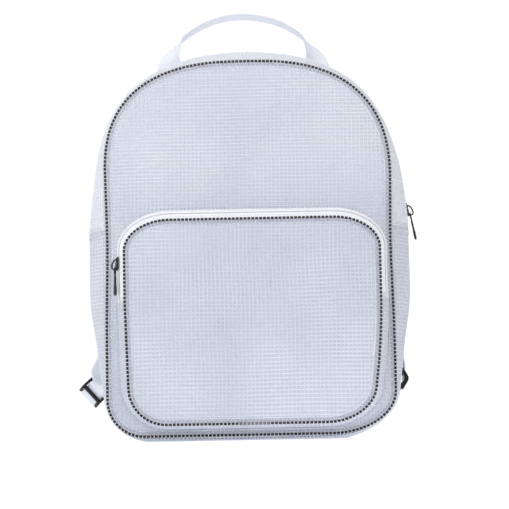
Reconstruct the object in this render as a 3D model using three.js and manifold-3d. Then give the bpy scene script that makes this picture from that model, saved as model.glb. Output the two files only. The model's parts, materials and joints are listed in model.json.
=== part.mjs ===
// A soft backpack of clear film with a woven grid, standing upright on its flattened bottom.
// Millimetres, +Z up, the front faces -Y, and the origin is the middle of the bottom.
import * as THREE from 'three';
import { mergeVertices } from 'three/addons/utils/BufferGeometryUtils.js';
import Module from 'manifold-3d';

const wasm = await Module();
wasm.setup();

const { lerp, mapLinear, degToRad } = THREE.MathUtils;
const vector = (x, y, z) => new THREE.Vector3(x, y, z);
const cross = (a, b) => new THREE.Vector3().crossVectors(a, b);

// Walls, seams and trim
const gap = 0.35; // clearance between sewn pieces
const film = 1.4; // thickness of a film wall
const pipingRadius = 2;
const pipingSides = 6;
const edgeInset = pipingRadius + gap; // from a piping's centre line to the edge of a wall

// The two arched walls, measured to the centre line of their piping
const frontPlane = -55;
const backPlane = 55;
const frontBottom = 5.6;
const backBottom = 2.5;
const seamHeight = 215; // cross seams where the main zip ends
const wall = {
  top: 386,
  archPower: 2.6,
  left: { reach: 145.5, across: 37, up: 37, arch: 118 }, // half width, lower corner's radii, arch's height
  right: { reach: 145.5, across: 65, up: 42, arch: 130 },
};
const waist = { depth: 1.9, height: 200, span: 60 }; // the sides draw in a little at mid height
const wallCentre = { x: 0, z: 195 };
const frontCrown = 8;
const backCrown = 5;
const crownPower = 2.4;

// How far the gusset swells past the piping, from the bottom centre (0) to the top centre (1)
const bellyTable = [
  { along: 0.0, swell: 9 },
  { along: 0.1, swell: 8 },
  { along: 0.16, swell: 5 },
  { along: 0.21, swell: 3.5 },
  { along: 0.25, swell: 5 },
  { along: 0.28, swell: 8 },
  { along: 0.32, swell: 11 },
  { along: 0.37, swell: 14.5 },
  { along: 0.43, swell: 20.5 },
  { along: 0.5, swell: 22.5 },
  { along: 0.57, swell: 21.5 },
  { along: 0.64, swell: 15.5 },
  { along: 0.7, swell: 10.5 },
  { along: 0.76, swell: 9 },
  { along: 0.82, swell: 11 },
  { along: 0.9, swell: 14.5 },
  { along: 1.0, swell: 17.5 },
];
const bellyPower = 2.2;
const lowerShares = [0.12, 0.3, 0.5, 0.7, 0.88]; // columns across the lower gusset, between its edges
const mainZipWidth = 30;

// Front pocket, measured to the centre line of its piping
const pocketPlane = -86;
const pocketSeam = 140; // height at which the pocket zip ends on both sides
const pocket = {
  centre: 3,
  halfTop: 128,
  top: 221.5,
  shoulder: { across: 46, up: 31 },
  bottom: 16.8,
  left: { reach: 125.5, across: 38, up: 38 },
  right: { reach: 121.8, across: 50, up: 38 },
  leanHeight: 100, // the right side stays upright down to about here, then leans in
};
const pocketCrown = 5;
const pocketFlare = { top: 12.5, side: 9.5, bottom: 4 }; // spread from the piping to the front wall
const pocketSwell = 2;

// Zip coil, slider and pull
const coilHeight = 1.1;
const coilHalfShare = 0.11; // half the coil's width as a share of the tape's width
const slider = { length: 13.5, halfWidth: 4.4, wall: 1.2, roof: 1 };
const bow = { low: -6.3, high: 4.3, height: 4.8, bar: 1.3, halfWidth: 1 }; // loop on the slider's roof
const pin = { radius: 0.65, inset: 0.2, sides: 8 };
const pull = {
  length: 28,
  halfWidth: 2.9,
  thickness: 1.5,
  armInner: 1.5,
  armReach: 7,
  armRise: 0.5,
  armOverlap: 1,
  grip: 2.2,
  gripLength: 7,
  gripEnd: 0.6,
  gripProud: 0.4,
};
const mainPullLift = degToRad(5); // the main pull stands off its tape

// Handle, whose peak leans left and whose grip tilts its front edge up: how far inwards, back and up, and
// how far its webbing is turned, from its end to the middle
const webbing = { width: 20, thickness: 1.5 };
const handle = { width: 25, thickness: 1.6, centre: -3, spread: 79, lean: 3.5, tilt: 0.065 };
const handleTable = [
  { inwards: 0, back: 0, height: 336, turned: 0 },
  { inwards: 0, back: 0, height: 370, turned: 0 },
  { inwards: -1, back: 1, height: 397, turned: 0 },
  { inwards: 2, back: 1.5, height: 411, turned: 36 },
  { inwards: 9, back: 2, height: 423, turned: 66 },
  { inwards: 14.5, back: 2.5, height: 431, turned: 86 },
  { inwards: 42, back: 2.5, height: 447.5, turned: 90 },
  { inwards: handle.spread - handle.lean, back: 2.5, height: 454.5, turned: 90 },
];

// Shoulder straps and adjusters
const strap = { width: 46, thickness: 5, edge: 4, spread: 40, sewnHeights: [370, 360, 350, 341] };
const adjuster = {
  halfLength: 10.5,
  bend: 6,
  rail: 4,
  halfSlot: 10.5,
  halfWidth: 13.5,
  barAt: 9,
  barRadius: 1.6,
  barSides: 8,
  barLevel: -2.1,
  middleLevel: 2.8,
  entry: 5, // how far before its first bar the webbing lines up with it
};
const returnDrop = { start: 0.4, end: 1.2, reach: 11 }; // how the webbing leaves under the adjuster
const turnSlack = 0.05;

// Finishes
const filmFinish = { color: 0xd6dbe6, roughness: 0.35 };
const padFinish = { color: 0xd6dbe6, roughness: 0.5 };
const wovenFinish = { color: 0xeef1f6, roughness: 0.8 };
const pipingFinish = { color: 0x4b4d52, roughness: 0.4 };
const metalFinish = { color: 0x17181b, roughness: 0.35, metalness: 0.6 };
const plasticFinish = { color: 0x17181b, roughness: 0.4 };

const group = new THREE.Group();

function addMesh(name, geometry, finish) {
  const material = new THREE.MeshStandardMaterial(finish);
  const mesh = new THREE.Mesh(geometry, material);
  mesh.name = name;
  group.add(mesh);
  return mesh;
}

// General shapes

// An indexed geometry whose triangles face outwards.
function closedGeometry(points, faces) {
  const volume = faces.reduce((sum, [a, b, c]) => sum + points[a].dot(cross(points[b], points[c])), 0);
  const outward = volume > 0 ? faces : faces.map(([a, b, c]) => [a, c, b]);
  const geometry = new THREE.BufferGeometry();
  geometry.setFromPoints(points);
  geometry.setIndex(outward.flat());
  geometry.computeVertexNormals();
  return geometry;
}

// A wall between an outer and an inner grid of points, joined along its four edges.
function wallGeometry(outer, inner) {
  const rows = outer.length;
  const columns = outer[0].length;
  const points = [...outer.flat(), ...inner.flat()];
  const at = (side, i, j) => (side * rows + i) * columns + j;
  const faces = [];
  const quad = (a, b, c, d) => faces.push([a, b, c], [a, c, d]);
  for (let i = 0; i < rows - 1; i += 1) {
    for (let j = 0; j < columns - 1; j += 1) {
      quad(at(0, i, j), at(0, i + 1, j), at(0, i + 1, j + 1), at(0, i, j + 1));
      quad(at(1, i, j), at(1, i, j + 1), at(1, i + 1, j + 1), at(1, i + 1, j));
    }
    quad(at(0, i + 1, 0), at(0, i, 0), at(1, i, 0), at(1, i + 1, 0));
    const last = columns - 1;
    quad(at(0, i, last), at(0, i + 1, last), at(1, i + 1, last), at(1, i, last));
  }
  for (let j = 0; j < columns - 1; j += 1) {
    quad(at(0, 0, j), at(0, 0, j + 1), at(1, 0, j + 1), at(1, 0, j));
    const last = rows - 1;
    quad(at(0, last, j + 1), at(0, last, j), at(1, last, j), at(1, last, j + 1));
  }
  return closedGeometry(points, faces);
}

// A crowned wall inside a closed edge: rings shrink towards the centre, and depthAt gives each ring's Y.
function crownedGeometry(edge, centre, rings, depthAt) {
  const count = edge.length;
  const points = [];
  for (const offset of [-film / 2, film / 2]) {
    points.push(vector(centre.x, depthAt(0) + offset, centre.z));
    for (let ring = 1; ring <= rings; ring += 1) {
      const share = ring / rings;
      for (const { x, z } of edge) {
        points.push(vector(lerp(centre.x, x, share), depthAt(share) + offset, lerp(centre.z, z, share)));
      }
    }
  }
  const sideSize = 1 + rings * count;
  const at = (side, ring, i) => side * sideSize + 1 + (ring - 1) * count + (i % count);
  const faces = [];
  const quad = (a, b, c, d) => faces.push([a, b, c], [a, c, d]);
  for (let i = 0; i < count; i += 1) {
    faces.push([0, at(0, 1, i), at(0, 1, i + 1)], [sideSize, at(1, 1, i + 1), at(1, 1, i)]);
    for (let ring = 1; ring < rings; ring += 1) {
      quad(at(0, ring, i), at(0, ring + 1, i), at(0, ring + 1, i + 1), at(0, ring, i + 1));
      quad(at(1, ring, i), at(1, ring, i + 1), at(1, ring + 1, i + 1), at(1, ring + 1, i));
    }
    quad(at(0, rings, i + 1), at(0, rings, i), at(1, rings, i), at(1, rings, i + 1));
  }
  return closedGeometry(points, faces);
}

// A closed ring of round cord whose centre line is a loop in a plane of constant Y.
function pipingGeometry(loop, plane) {
  const points = loop.flatMap(({ x, z, normal }) =>
    Array.from({ length: pipingSides }, (_, side) => {
      const angle = (2 * Math.PI * side) / pipingSides;
      const out = pipingRadius * Math.cos(angle);
      const y = plane + pipingRadius * Math.sin(angle);
      return vector(x + normal.x * out, y, z + normal.z * out);
    }),
  );
  const at = (i, side) => (i % loop.length) * pipingSides + (side % pipingSides);
  const faces = [];
  for (let i = 0; i < loop.length; i += 1) {
    for (let side = 0; side < pipingSides; side += 1) {
      faces.push([at(i, side), at(i + 1, side), at(i + 1, side + 1)]);
      faces.push([at(i, side), at(i + 1, side + 1), at(i, side + 1)]);
    }
  }
  return closedGeometry(points, faces);
}

// The smooth line of a strip through its stations.
const ribbonCurve = (stations) =>
  new THREE.CatmullRomCurve3(stations.map(({ place }) => place), false, 'centripetal');

// A strip carried along a smooth line through stations, each with a place, a direction across and a width.
// The section lists corners as shares of the half width and of the half thickness.
function ribbonGeometry(stations, thickness, section, stepsPerStation = 2) {
  const curve = ribbonCurve(stations);
  const spans = stations.length - 1;
  const steps = spans * stepsPerStation;
  const points = [];
  for (let step = 0; step <= steps; step += 1) {
    const share = step / steps;
    const from = Math.min(Math.floor(share * spans), spans - 1);
    const blend = share * spans - from;
    const middle = curve.getPoint(share);
    const tangent = curve.getTangent(share);
    const across = stations[from].across.clone().lerp(stations[from + 1].across, blend);
    across.addScaledVector(tangent, -across.dot(tangent)).normalize();
    const up = cross(across, tangent);
    const width = lerp(stations[from].width, stations[from + 1].width, blend);
    for (const [acrossShare, upShare] of section(width)) {
      const corner = middle.clone().addScaledVector(across, (acrossShare * width) / 2);
      points.push(corner.addScaledVector(up, (upShare * thickness) / 2));
    }
  }
  const sides = points.length / (steps + 1);
  const at = (step, side) => step * sides + (side % sides);
  const faces = [];
  for (let side = 0; side < sides; side += 1) {
    for (let step = 0; step < steps; step += 1) {
      faces.push([at(step, side), at(step + 1, side), at(step + 1, side + 1)]);
      faces.push([at(step, side), at(step + 1, side + 1), at(step, side + 1)]);
    }
  }
  for (let side = 1; side < sides - 1; side += 1) {
    faces.push([at(0, 0), at(0, side), at(0, side + 1)]);
    faces.push([at(steps, 0), at(steps, side + 1), at(steps, side)]);
  }
  return closedGeometry(points, faces);
}

const flatSection = () => [[-1, -1], [1, -1], [1, 1], [-1, 1]];
const paddedSection = (width) => {
  const flat = 1 - (2 * strap.edge) / width;
  return [[-1, 0], [-flat, -1], [flat, -1], [1, 0], [flat, 1], [-flat, 1]];
};

// Joins several closed geometries into one solid.
function joined(...geometries) {
  const solids = geometries.map((geometry) => {
    geometry.deleteAttribute('normal');
    geometry.deleteAttribute('uv');
    const merged = mergeVertices(geometry);
    const vertProperties = new Float32Array(merged.attributes.position.array);
    const triVerts = new Uint32Array(merged.index.array);
    return new wasm.Manifold(new wasm.Mesh({ numProp: 3, vertProperties, triVerts }));
  });
  const { vertProperties, triVerts } = solids.reduce((sum, solid) => sum.add(solid)).getMesh();
  const geometry = new THREE.BufferGeometry();
  geometry.setAttribute('position', new THREE.BufferAttribute(new Float32Array(vertProperties), 3));
  geometry.setIndex(new THREE.BufferAttribute(new Uint32Array(triVerts), 1));
  geometry.computeVertexNormals();
  return geometry;
}

const flatShape = (outline) => new THREE.Shape(outline.map(([x, y]) => new THREE.Vector2(x, y)));

// A flat outline in the local X and Z directions, given as [x, z] pairs, with its thickness centred on Y.
function plateGeometry(outline, thickness, y = 0) {
  const geometry = new THREE.ExtrudeGeometry(flatShape(outline), { depth: thickness, bevelEnabled: false });
  geometry.rotateX(Math.PI / 2);
  geometry.translate(0, y + thickness / 2, 0);
  return geometry;
}

// The corners of a rectangle centred on X = 0, between two heights.
function rectangle(thickness, low, high) {
  const half = thickness / 2;
  return [[-half, low], [half, low], [half, high], [-half, high]];
}

// Outlines

// Outward normals of a closed loop of points in the XZ plane that runs clockwise seen from the front.
function withNormals(points) {
  return points.map(({ x, y }, i) => {
    const before = points[(i + points.length - 1) % points.length];
    const after = points[(i + 1) % points.length];
    const along = new THREE.Vector2(after.x - before.x, after.y - before.y).normalize();
    return { x, z: y, normal: { x: -along.y, z: along.x } };
  });
}

// Continues a path round its two lower corners, quarter ellipses, and along the bottom between them.
function roundBottom(path, bottom, right, left) {
  const quarter = Math.PI / 2;
  const rightX = right.reach - right.across;
  const leftX = left.across - left.reach;
  path.absellipse(rightX, bottom + right.up, right.across, right.up, 0, -quarter, true);
  path.lineTo(leftX, bottom);
  path.absellipse(leftX, bottom + left.up, left.across, left.up, -quarter, -2 * quarter, true);
}

const upperSteps = 30;
const lowerSteps = 32;
const archSteps = 48;

// An arched wall: from the left seam over the top to the right seam, then round the bottom and back.
function archLoop(bottom) {
  const { top, archPower, left, right } = wall;
  const halfWidth = right.reach;
  const archPoints = Array.from({ length: archSteps }, (_, k) => {
    const angle = Math.PI * (1 - (k + 1) / archSteps);
    const x = halfWidth * Math.sign(Math.cos(angle)) * Math.abs(Math.cos(angle)) ** (2 / archPower);
    const { arch } = x < 0 ? left : right;
    return new THREE.Vector2(x, top - arch + arch * Math.sin(angle) ** (2 / archPower));
  });
  const upper = new THREE.Path();
  upper.moveTo(-halfWidth, seamHeight).lineTo(-halfWidth, top - left.arch);
  upper.splineThru(archPoints).lineTo(halfWidth, seamHeight);
  const lower = new THREE.Path();
  lower.moveTo(halfWidth, seamHeight).lineTo(halfWidth, bottom + right.up);
  roundBottom(lower, bottom, right, left);
  lower.lineTo(-halfWidth, seamHeight);
  const points = [...upper.getSpacedPoints(upperSteps), ...lower.getSpacedPoints(lowerSteps).slice(1, -1)];
  for (const point of points) {
    const pinch = waist.depth * Math.exp(-(((point.y - waist.height) / waist.span) ** 2));
    point.x *= 1 - pinch / halfWidth;
  }
  return withNormals(points);
}

const pocketUpperSteps = 26;
const pocketLowerSteps = 26;

// The pocket: from the left end of its zip over the top to the right end, then round the bottom and back.
function pocketLoop() {
  const { centre, halfTop, top, shoulder, bottom, left, right, leanHeight } = pocket;
  const { across, up } = shoulder;
  const upper = new THREE.Path();
  upper.moveTo(-halfTop, pocketSeam).lineTo(-halfTop, top - up);
  upper.absellipse(across - halfTop, top - up, across, up, Math.PI, Math.PI / 2, true);
  upper.lineTo(halfTop - across, top);
  upper.absellipse(halfTop - across, top - up, across, up, Math.PI / 2, 0, true);
  upper.lineTo(halfTop, pocketSeam);
  const lower = new THREE.Path();
  lower.moveTo(halfTop, pocketSeam);
  lower.quadraticCurveTo(halfTop, leanHeight, right.reach, bottom + right.up);
  roundBottom(lower, bottom, right, left);
  lower.lineTo(-halfTop, pocketSeam);
  const points = [
    ...upper.getSpacedPoints(pocketUpperSteps),
    ...lower.getSpacedPoints(pocketLowerSteps).slice(1, -1),
  ];
  for (const point of points) {
    point.x += centre;
  }
  return withNormals(points);
}

const insetLoop = (loop) =>
  loop.map(({ x, z, normal }) => ({ x: x - normal.x * edgeInset, z: z - normal.z * edgeInset }));

// The share of the way from the centre of a wall to its edge at which a point lies.
function edgeShare(edge, centre, x, z) {
  const dx = x - centre.x;
  const dz = z - centre.z;
  for (let i = 0; i < edge.length; i += 1) {
    const p = edge[i];
    const q = edge[(i + 1) % edge.length];
    const ex = q.x - p.x;
    const ez = q.z - p.z;
    const turned = dx * ez - dz * ex;
    const reach = ((p.x - centre.x) * ez - (p.z - centre.z) * ex) / turned;
    const along = ((p.x - centre.x) * dz - (p.z - centre.z) * dx) / turned;
    if (reach > 0 && along >= 0 && along <= 1) {
      return 1 / reach;
    }
  }
  return 0;
}

const frontLoop = archLoop(frontBottom);
const backLoop = archLoop(backBottom);
const frontEdge = insetLoop(frontLoop);
const backEdge = insetLoop(backLoop);
const frontDepth = (share) => frontPlane - frontCrown * (1 - share ** crownPower);
const backDepth = (share) => backPlane + backCrown * (1 - share ** crownPower);
const frontFace = (x, z) => frontDepth(Math.min(edgeShare(frontEdge, wallCentre, x, z), 1)) - film / 2;
const backFace = (x, z) => backDepth(Math.min(edgeShare(backEdge, wallCentre, x, z), 1)) + film / 2;

// Main walls and their piping

const frontRings = 4;
const backRings = 3;
addMesh('front_panel', crownedGeometry(frontEdge, wallCentre, frontRings, frontDepth), filmFinish);
addMesh('back_panel', crownedGeometry(backEdge, wallCentre, backRings, backDepth), filmFinish);
addMesh('front_piping', pipingGeometry(frontLoop, frontPlane), pipingFinish);
addMesh('back_piping', pipingGeometry(backLoop, backPlane), pipingFinish);

// Gusset between the two walls

const bellySteps = 240;
const bellyKnots = bellyTable.map(({ along, swell }) => new THREE.Vector2(along, swell));
const bellyPoints = new THREE.SplineCurve(bellyKnots).getPoints(bellySteps);

// The swell at a share of the way from the bottom centre to the top centre.
function swellAt(along) {
  const after = Math.max(bellyPoints.findIndex(({ x }) => x >= along), 1);
  const low = bellyPoints[after - 1];
  const high = bellyPoints[after];
  return mapLinear(along, low.x, high.x, low.y, high.y);
}

// How far along its half of the outline each point of the front loop lies: 0 at the bottom, 1 at the top.
const loopShares = (() => {
  const count = frontLoop.length;
  const steps = frontLoop.map((point, i) => {
    const next = frontLoop[(i + 1) % count];
    return Math.hypot(next.x - point.x, next.z - point.z);
  });
  const total = steps.reduce((sum, step) => sum + step, 0);
  const top = upperSteps / 2;
  let walked = 0;
  const shares = new Array(count);
  for (let k = 0; k < count; k += 1) {
    const i = (top + k) % count;
    shares[i] = Math.abs(1 - (2 * walked) / total);
    walked += steps[i];
  }
  return shares;
})();

// A point of the gusset: across runs from 0 at the front piping to 1 at the back, and raised is a height
// above the outside.
function gussetPoint(i, across, raised) {
  const index = i % frontLoop.length;
  const front = frontLoop[index];
  const back = backLoop[index];
  const middle = 1 - Math.abs(2 * across - 1) ** bellyPower;
  const out = swellAt(loopShares[index]) * middle + raised;
  const x = lerp(front.x, back.x, across) + front.normal.x * out;
  const z = lerp(front.z, back.z, across) + front.normal.z * out;
  return vector(x, lerp(frontPlane, backPlane, across), Math.max(z, raised < 0 ? -raised : 0));
}

const range = (from, to) => Array.from({ length: to - from + 1 }, (_, k) => from + k);

// A stretch of a band: the outside is raised where a column says so, and the inside lies one film below.
function bandGeometry(surface, indices, columns) {
  const outer = indices.map((i) => columns.map(({ across, raised = 0 }) => surface(i, across, raised)));
  const inner = indices.map((i) => columns.map(({ across }) => surface(i, across, -film)));
  return wallGeometry(outer, inner);
}

const fullDepth = backPlane - frontPlane;
const acrossEdge = edgeInset / fullDepth;
const zipHalf = mainZipWidth / 2 / fullDepth;
const zipGap = gap / fullDepth;
const columnsBetween = (from, to, count) =>
  range(0, count).map((k) => ({ across: lerp(from, to, k / count) }));
const zipColumns = [
  { across: 0.5 - zipHalf },
  { across: 0.5 - 2 * coilHalfShare * zipHalf },
  { across: 0.5, raised: coilHeight },
  { across: 0.5 + 2 * coilHalfShare * zipHalf },
  { across: 0.5 + zipHalf },
];
const lowerColumns = [acrossEdge, ...lowerShares, 1 - acrossEdge].map((across) => ({ across }));
const stripColumns = 2;
const frontStrip = columnsBetween(acrossEdge, 0.5 - zipHalf - zipGap, stripColumns);
const backStrip = columnsBetween(0.5 + zipHalf + zipGap, 1 - acrossEdge, stripColumns);

const upperIndices = range(0, upperSteps);
const lowerIndices = range(upperSteps, upperSteps + lowerSteps);
addMesh('lower_gusset', bandGeometry(gussetPoint, lowerIndices, lowerColumns), filmFinish);
addMesh('zip_gusset_front', bandGeometry(gussetPoint, upperIndices, frontStrip), filmFinish);
addMesh('zip_gusset_back', bandGeometry(gussetPoint, upperIndices, backStrip), filmFinish);
addMesh('main_zip', bandGeometry(gussetPoint, upperIndices, zipColumns), wovenFinish);

// Front pocket

const pocketOutline = pocketLoop();
const pocketMiddle = { x: pocket.centre, z: (pocket.bottom + pocket.top) / 2 };
const pocketEdge = insetLoop(pocketOutline);
const pocketDepth = (share) => pocketPlane - pocketCrown * (1 - share ** crownPower);
const pocketRings = 3;
addMesh('pocket_panel', crownedGeometry(pocketEdge, pocketMiddle, pocketRings, pocketDepth), filmFinish);
addMesh('pocket_piping', pipingGeometry(pocketOutline, pocketPlane), pipingFinish);

// A point of the pocket's gusset: across runs from 0 at its piping to 1 at the front wall.
function pocketPoint(i, across, raised) {
  const { x, z, normal } = pocketOutline[i % pocketOutline.length];
  const end = normal.z > 0 ? pocketFlare.top : pocketFlare.bottom;
  const flare = lerp(pocketFlare.side, end, Math.abs(normal.z));
  const out = flare * across + pocketSwell * Math.sin(Math.PI * across) + raised;
  const base = frontFace(x + normal.x * flare, z + normal.z * flare) - gap;
  return vector(x + normal.x * out, lerp(pocketPlane + edgeInset, base, across), z + normal.z * out);
}

const pocketUpper = range(0, pocketUpperSteps);
const pocketLower = range(pocketUpperSteps, pocketUpperSteps + pocketLowerSteps);
const pocketZipColumns = [
  { across: 0 },
  { across: 0.5 - coilHalfShare },
  { across: 0.5, raised: coilHeight },
  { across: 0.5 + coilHalfShare },
  { across: 1 },
];
const pocketBandColumns = 3;
const pocketLowerBand = bandGeometry(pocketPoint, pocketLower, columnsBetween(0, 1, pocketBandColumns));
addMesh('pocket_lower_gusset', pocketLowerBand, filmFinish);
addMesh('pocket_zip', bandGeometry(pocketPoint, pocketUpper, pocketZipColumns), wovenFinish);

// Zip sliders and pulls, in a local frame: X out of the tape, Y across the zip, Z up along it

const roofUnder = coilHeight + gap;
const roofTop = roofUnder + slider.roof;
const pinPlace = { out: roofTop + gap + pin.radius, up: bow.low + bow.bar + gap + pin.radius };

// A channel over the coil, and the bow on its roof.
function sliderGeometry() {
  const inner = slider.halfWidth - slider.wall;
  const channel = flatShape([
    [gap, -slider.halfWidth],
    [roofTop, -slider.halfWidth],
    [roofTop, slider.halfWidth],
    [gap, slider.halfWidth],
    [gap, inner],
    [roofUnder, inner],
    [roofUnder, -inner],
    [gap, -inner],
  ]);
  const channelPiece = new THREE.ExtrudeGeometry(channel, { depth: slider.length, bevelEnabled: false });
  channelPiece.translate(0, 0, -slider.length / 2);
  const { low, high, height, bar, halfWidth } = bow;
  const foot = roofTop - slider.roof / 2;
  const top = roofTop + height;
  const bowOutline = [
    [foot, low],
    [top - bar, low],
    [top, low + bar],
    [top, high - bar],
    [top - bar, high],
    [foot, high],
    [foot, high - bar],
    [top - bar, high - bar],
    [top - bar, low + bar],
    [foot, low + bar],
  ];
  return joined(channelPiece, plateGeometry(bowOutline, 2 * halfWidth));
}

// The pull hangs along -Z from its pin, which lies on the local Y axis, and its arms straddle the bow.
function pullGeometry() {
  const { length, halfWidth, thickness, armInner, armReach, armRise, armOverlap } = pull;
  const pinLength = 2 * (halfWidth - pin.inset);
  const pinPiece = new THREE.CylinderGeometry(pin.radius, pin.radius, pinLength, pin.sides);
  const armMiddle = (halfWidth + armInner) / 2;
  const armOutline = rectangle(thickness, -armReach - armOverlap, armRise);
  const arms = [-1, 1].map((side) => plateGeometry(armOutline, halfWidth - armInner, side * armMiddle));
  const tab = plateGeometry(rectangle(thickness, -length, -armReach), 2 * halfWidth);
  const gripOutline = rectangle(pull.grip, -length - pull.gripEnd, pull.gripLength - length);
  const grip = plateGeometry(gripOutline, 2 * (halfWidth + pull.gripProud));
  return joined(pinPiece, ...arms, tab, grip);
}

// The frame of a slider on a zip, at a share of the way from one point of its line to the next.
function zipFrame(surface, i, share) {
  const at = (across) => surface(i, across, 0).lerp(surface(i + 1, across, 0), share);
  const middle = at(0.5);
  const up = surface(i, 0.5, 0).sub(surface(i + 1, 0.5, 0)).normalize();
  if (up.z < 0) {
    up.negate();
  }
  const across = at(0.5 + coilHalfShare).sub(at(0.5 - coilHalfShare)).normalize();
  const out = cross(across, up).normalize();
  if (out.x * middle.x < 0) {
    out.negate();
  }
  return { middle, up, out, across: cross(up, out) };
}

function placeInFrame(mesh, origin, x, y, z) {
  mesh.position.copy(origin);
  mesh.quaternion.setFromRotationMatrix(new THREE.Matrix4().makeBasis(x, y, z));
}

function addSlider(name, { middle, up, out, across }, lift) {
  const sliderMesh = addMesh(`${name}_slider`, sliderGeometry(), metalFinish);
  placeInFrame(sliderMesh, middle, out, across, up);
  const hinge = middle.clone().addScaledVector(out, pinPlace.out).addScaledVector(up, pinPlace.up);
  const pullMesh = addMesh(`${name}_pull`, pullGeometry(), metalFinish);
  placeInFrame(pullMesh, hinge, out, across, up);
  pullMesh.rotateY(-lift);
}

const mainSliderShare = 0.82;
const pocketSliderShare = 0.64;
addSlider('main_zip', zipFrame(gussetPoint, upperSteps - 2, mainSliderShare), mainPullLift);
addSlider('pocket_zip', zipFrame(pocketPoint, 2, pocketSliderShare), 0);

// Handle: both ends lie on the back wall, the legs rise face on, and the grip turns flat

const behindBack = (x, z, width, thickness) =>
  Math.max(backFace(x - width / 2, z), backFace(x + width / 2, z)) + gap + thickness / 2;

function handleGeometry() {
  const { width, thickness, centre, spread, tilt } = handle;
  const seat = behindBack(centre - spread, handleTable[0].height, width, thickness);
  const station = ({ inwards, back, height, turned }, side) => ({
    place: vector(centre + side * (spread - inwards), seat + back, height),
    across: vector(-side * Math.cos(degToRad(turned)), -Math.sin(degToRad(turned)), 0)
      .setZ(tilt * Math.sin(degToRad(turned))),
    width,
  });
  const left = handleTable.map((row) => station(row, -1));
  const right = handleTable.slice(0, -1).map((row) => station(row, 1)).reverse();
  return ribbonGeometry([...left, ...right], thickness, flatSection);
}

addMesh('handle', handleGeometry(), wovenFinish);

// Shoulder straps, their adjusters and the webbing that runs through them

// Each side: the adjuster's place, its length and bar directions, the strap's free line down to its end,
// the webbing from there to the adjuster, and the webbing back to the lower corner of the back wall.
const strapSides = [
  {
    name: 'left',
    side: -1,
    centre: vector(-171, 88, 53.1),
    down: vector(-0.633, 0.53, -0.567),
    bar: vector(0.667, 0, -0.745),
    strapLine: [
      { place: vector(-47, 74, 318), across: vector(1, 0, 0), width: 46 },
      { place: vector(-58, 97, 262), across: vector(0.98, 0, -0.2), width: 46 },
      { place: vector(-78, 108, 205), across: vector(0.93, 0, -0.35), width: 43 },
      { place: vector(-106, 112, 155), across: vector(0.85, 0, -0.5), width: 36 },
      { place: vector(-132, 109, 122), across: vector(0.8, 0.05, -0.6), width: 29 },
      { place: vector(-149, 104, 100), across: vector(0.8, 0.1, -0.6), width: 25 },
    ],
    webbingIn: [
      { place: vector(-159.5, 97, 83.5), across: vector(0.8, 0.1, -0.6) },
      { place: vector(-164, 88.5, 71.5), across: vector(0.74, 0.05, -0.67) },
    ],
    webbingOut: [
      { place: vector(-154, 92, 62), across: vector(0.6, 0, -0.8) },
      { place: vector(-146, 88, 55.5), across: vector(0.4, 0, -0.92) },
      { place: vector(-138, 79, 46), across: vector(0.25, 0, -0.97) },
      { place: vector(-131, 67, 39), across: vector(0.2, 0, -0.98) },
    ],
    anchor: [
      { x: -123, z: 35, lift: 2, across: vector(0.15, 0, -0.99) },
      { x: -114, z: 33, lift: 0.3, across: vector(0.15, 0, -0.99) },
      { x: -100, z: 31, lift: 0, across: vector(0.15, 0, -0.99) },
    ],
  },
  {
    name: 'right',
    side: 1,
    centre: vector(161.6, 66, 62),
    down: vector(-0.035, 0, -0.999),
    bar: vector(0, 1, 0),
    strapLine: [
      { place: vector(47, 74, 318), across: vector(1, 0, 0), width: 46 },
      { place: vector(58, 97, 268), across: vector(0.98, 0.1, 0.2), width: 46 },
      { place: vector(80, 107, 220), across: vector(0.85, 0.35, 0.35), width: 43 },
      { place: vector(108, 106, 182), across: vector(0.65, 0.65, 0.35), width: 36 },
      { place: vector(133, 95, 154), across: vector(0.45, 0.85, 0.1), width: 29 },
      { place: vector(146, 85, 137), across: vector(0.3, 0.9, -0.25), width: 25 },
    ],
    webbingIn: [
      { place: vector(154, 76, 119), across: vector(0.1, 0.95, -0.25) },
      { place: vector(159.5, 68, 96), across: vector(0, 1, 0) },
    ],
    webbingOut: [
      { place: vector(150.5, 70, 88.5), across: vector(0.1, 1, 0.1) },
      { place: vector(142, 76, 94), across: vector(0.35, 0.9, 0.2) },
      { place: vector(132, 77, 85), across: vector(0.75, 0.6, 0.1) },
      { place: vector(127, 69, 70), across: vector(0.98, 0.2, 0) },
    ],
    anchor: [
      { x: 124.5, z: 58, lift: 2, across: vector(1, 0, 0) },
      { x: 123, z: 49, lift: 0.3, across: vector(1, 0, 0) },
      { x: 122, z: 34, lift: 0, across: vector(1, 0, 0) },
    ],
  },
];

// The webbing's line through an adjuster: over the end bars, under the middle bar, back round the outer end.
const { barAt, barLevel } = adjuster;
const turn = adjuster.barRadius + gap + webbing.thickness / 2 + turnSlack;
const slant = turn * Math.SQRT1_2;
const adjusterLine = [
  { along: -barAt - adjuster.entry, out: barLevel + turn },
  { along: -barAt, out: barLevel + turn },
  { along: 0, out: 0 },
  { along: barAt, out: barLevel + turn },
  { along: barAt + slant, out: barLevel + slant },
  { along: barAt + turn, out: barLevel },
  { along: barAt + slant, out: barLevel - slant },
  { along: barAt, out: barLevel - turn },
  { along: 0, out: barLevel - turn - returnDrop.start },
  { along: -returnDrop.reach, out: barLevel - turn - returnDrop.end },
];

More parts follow.
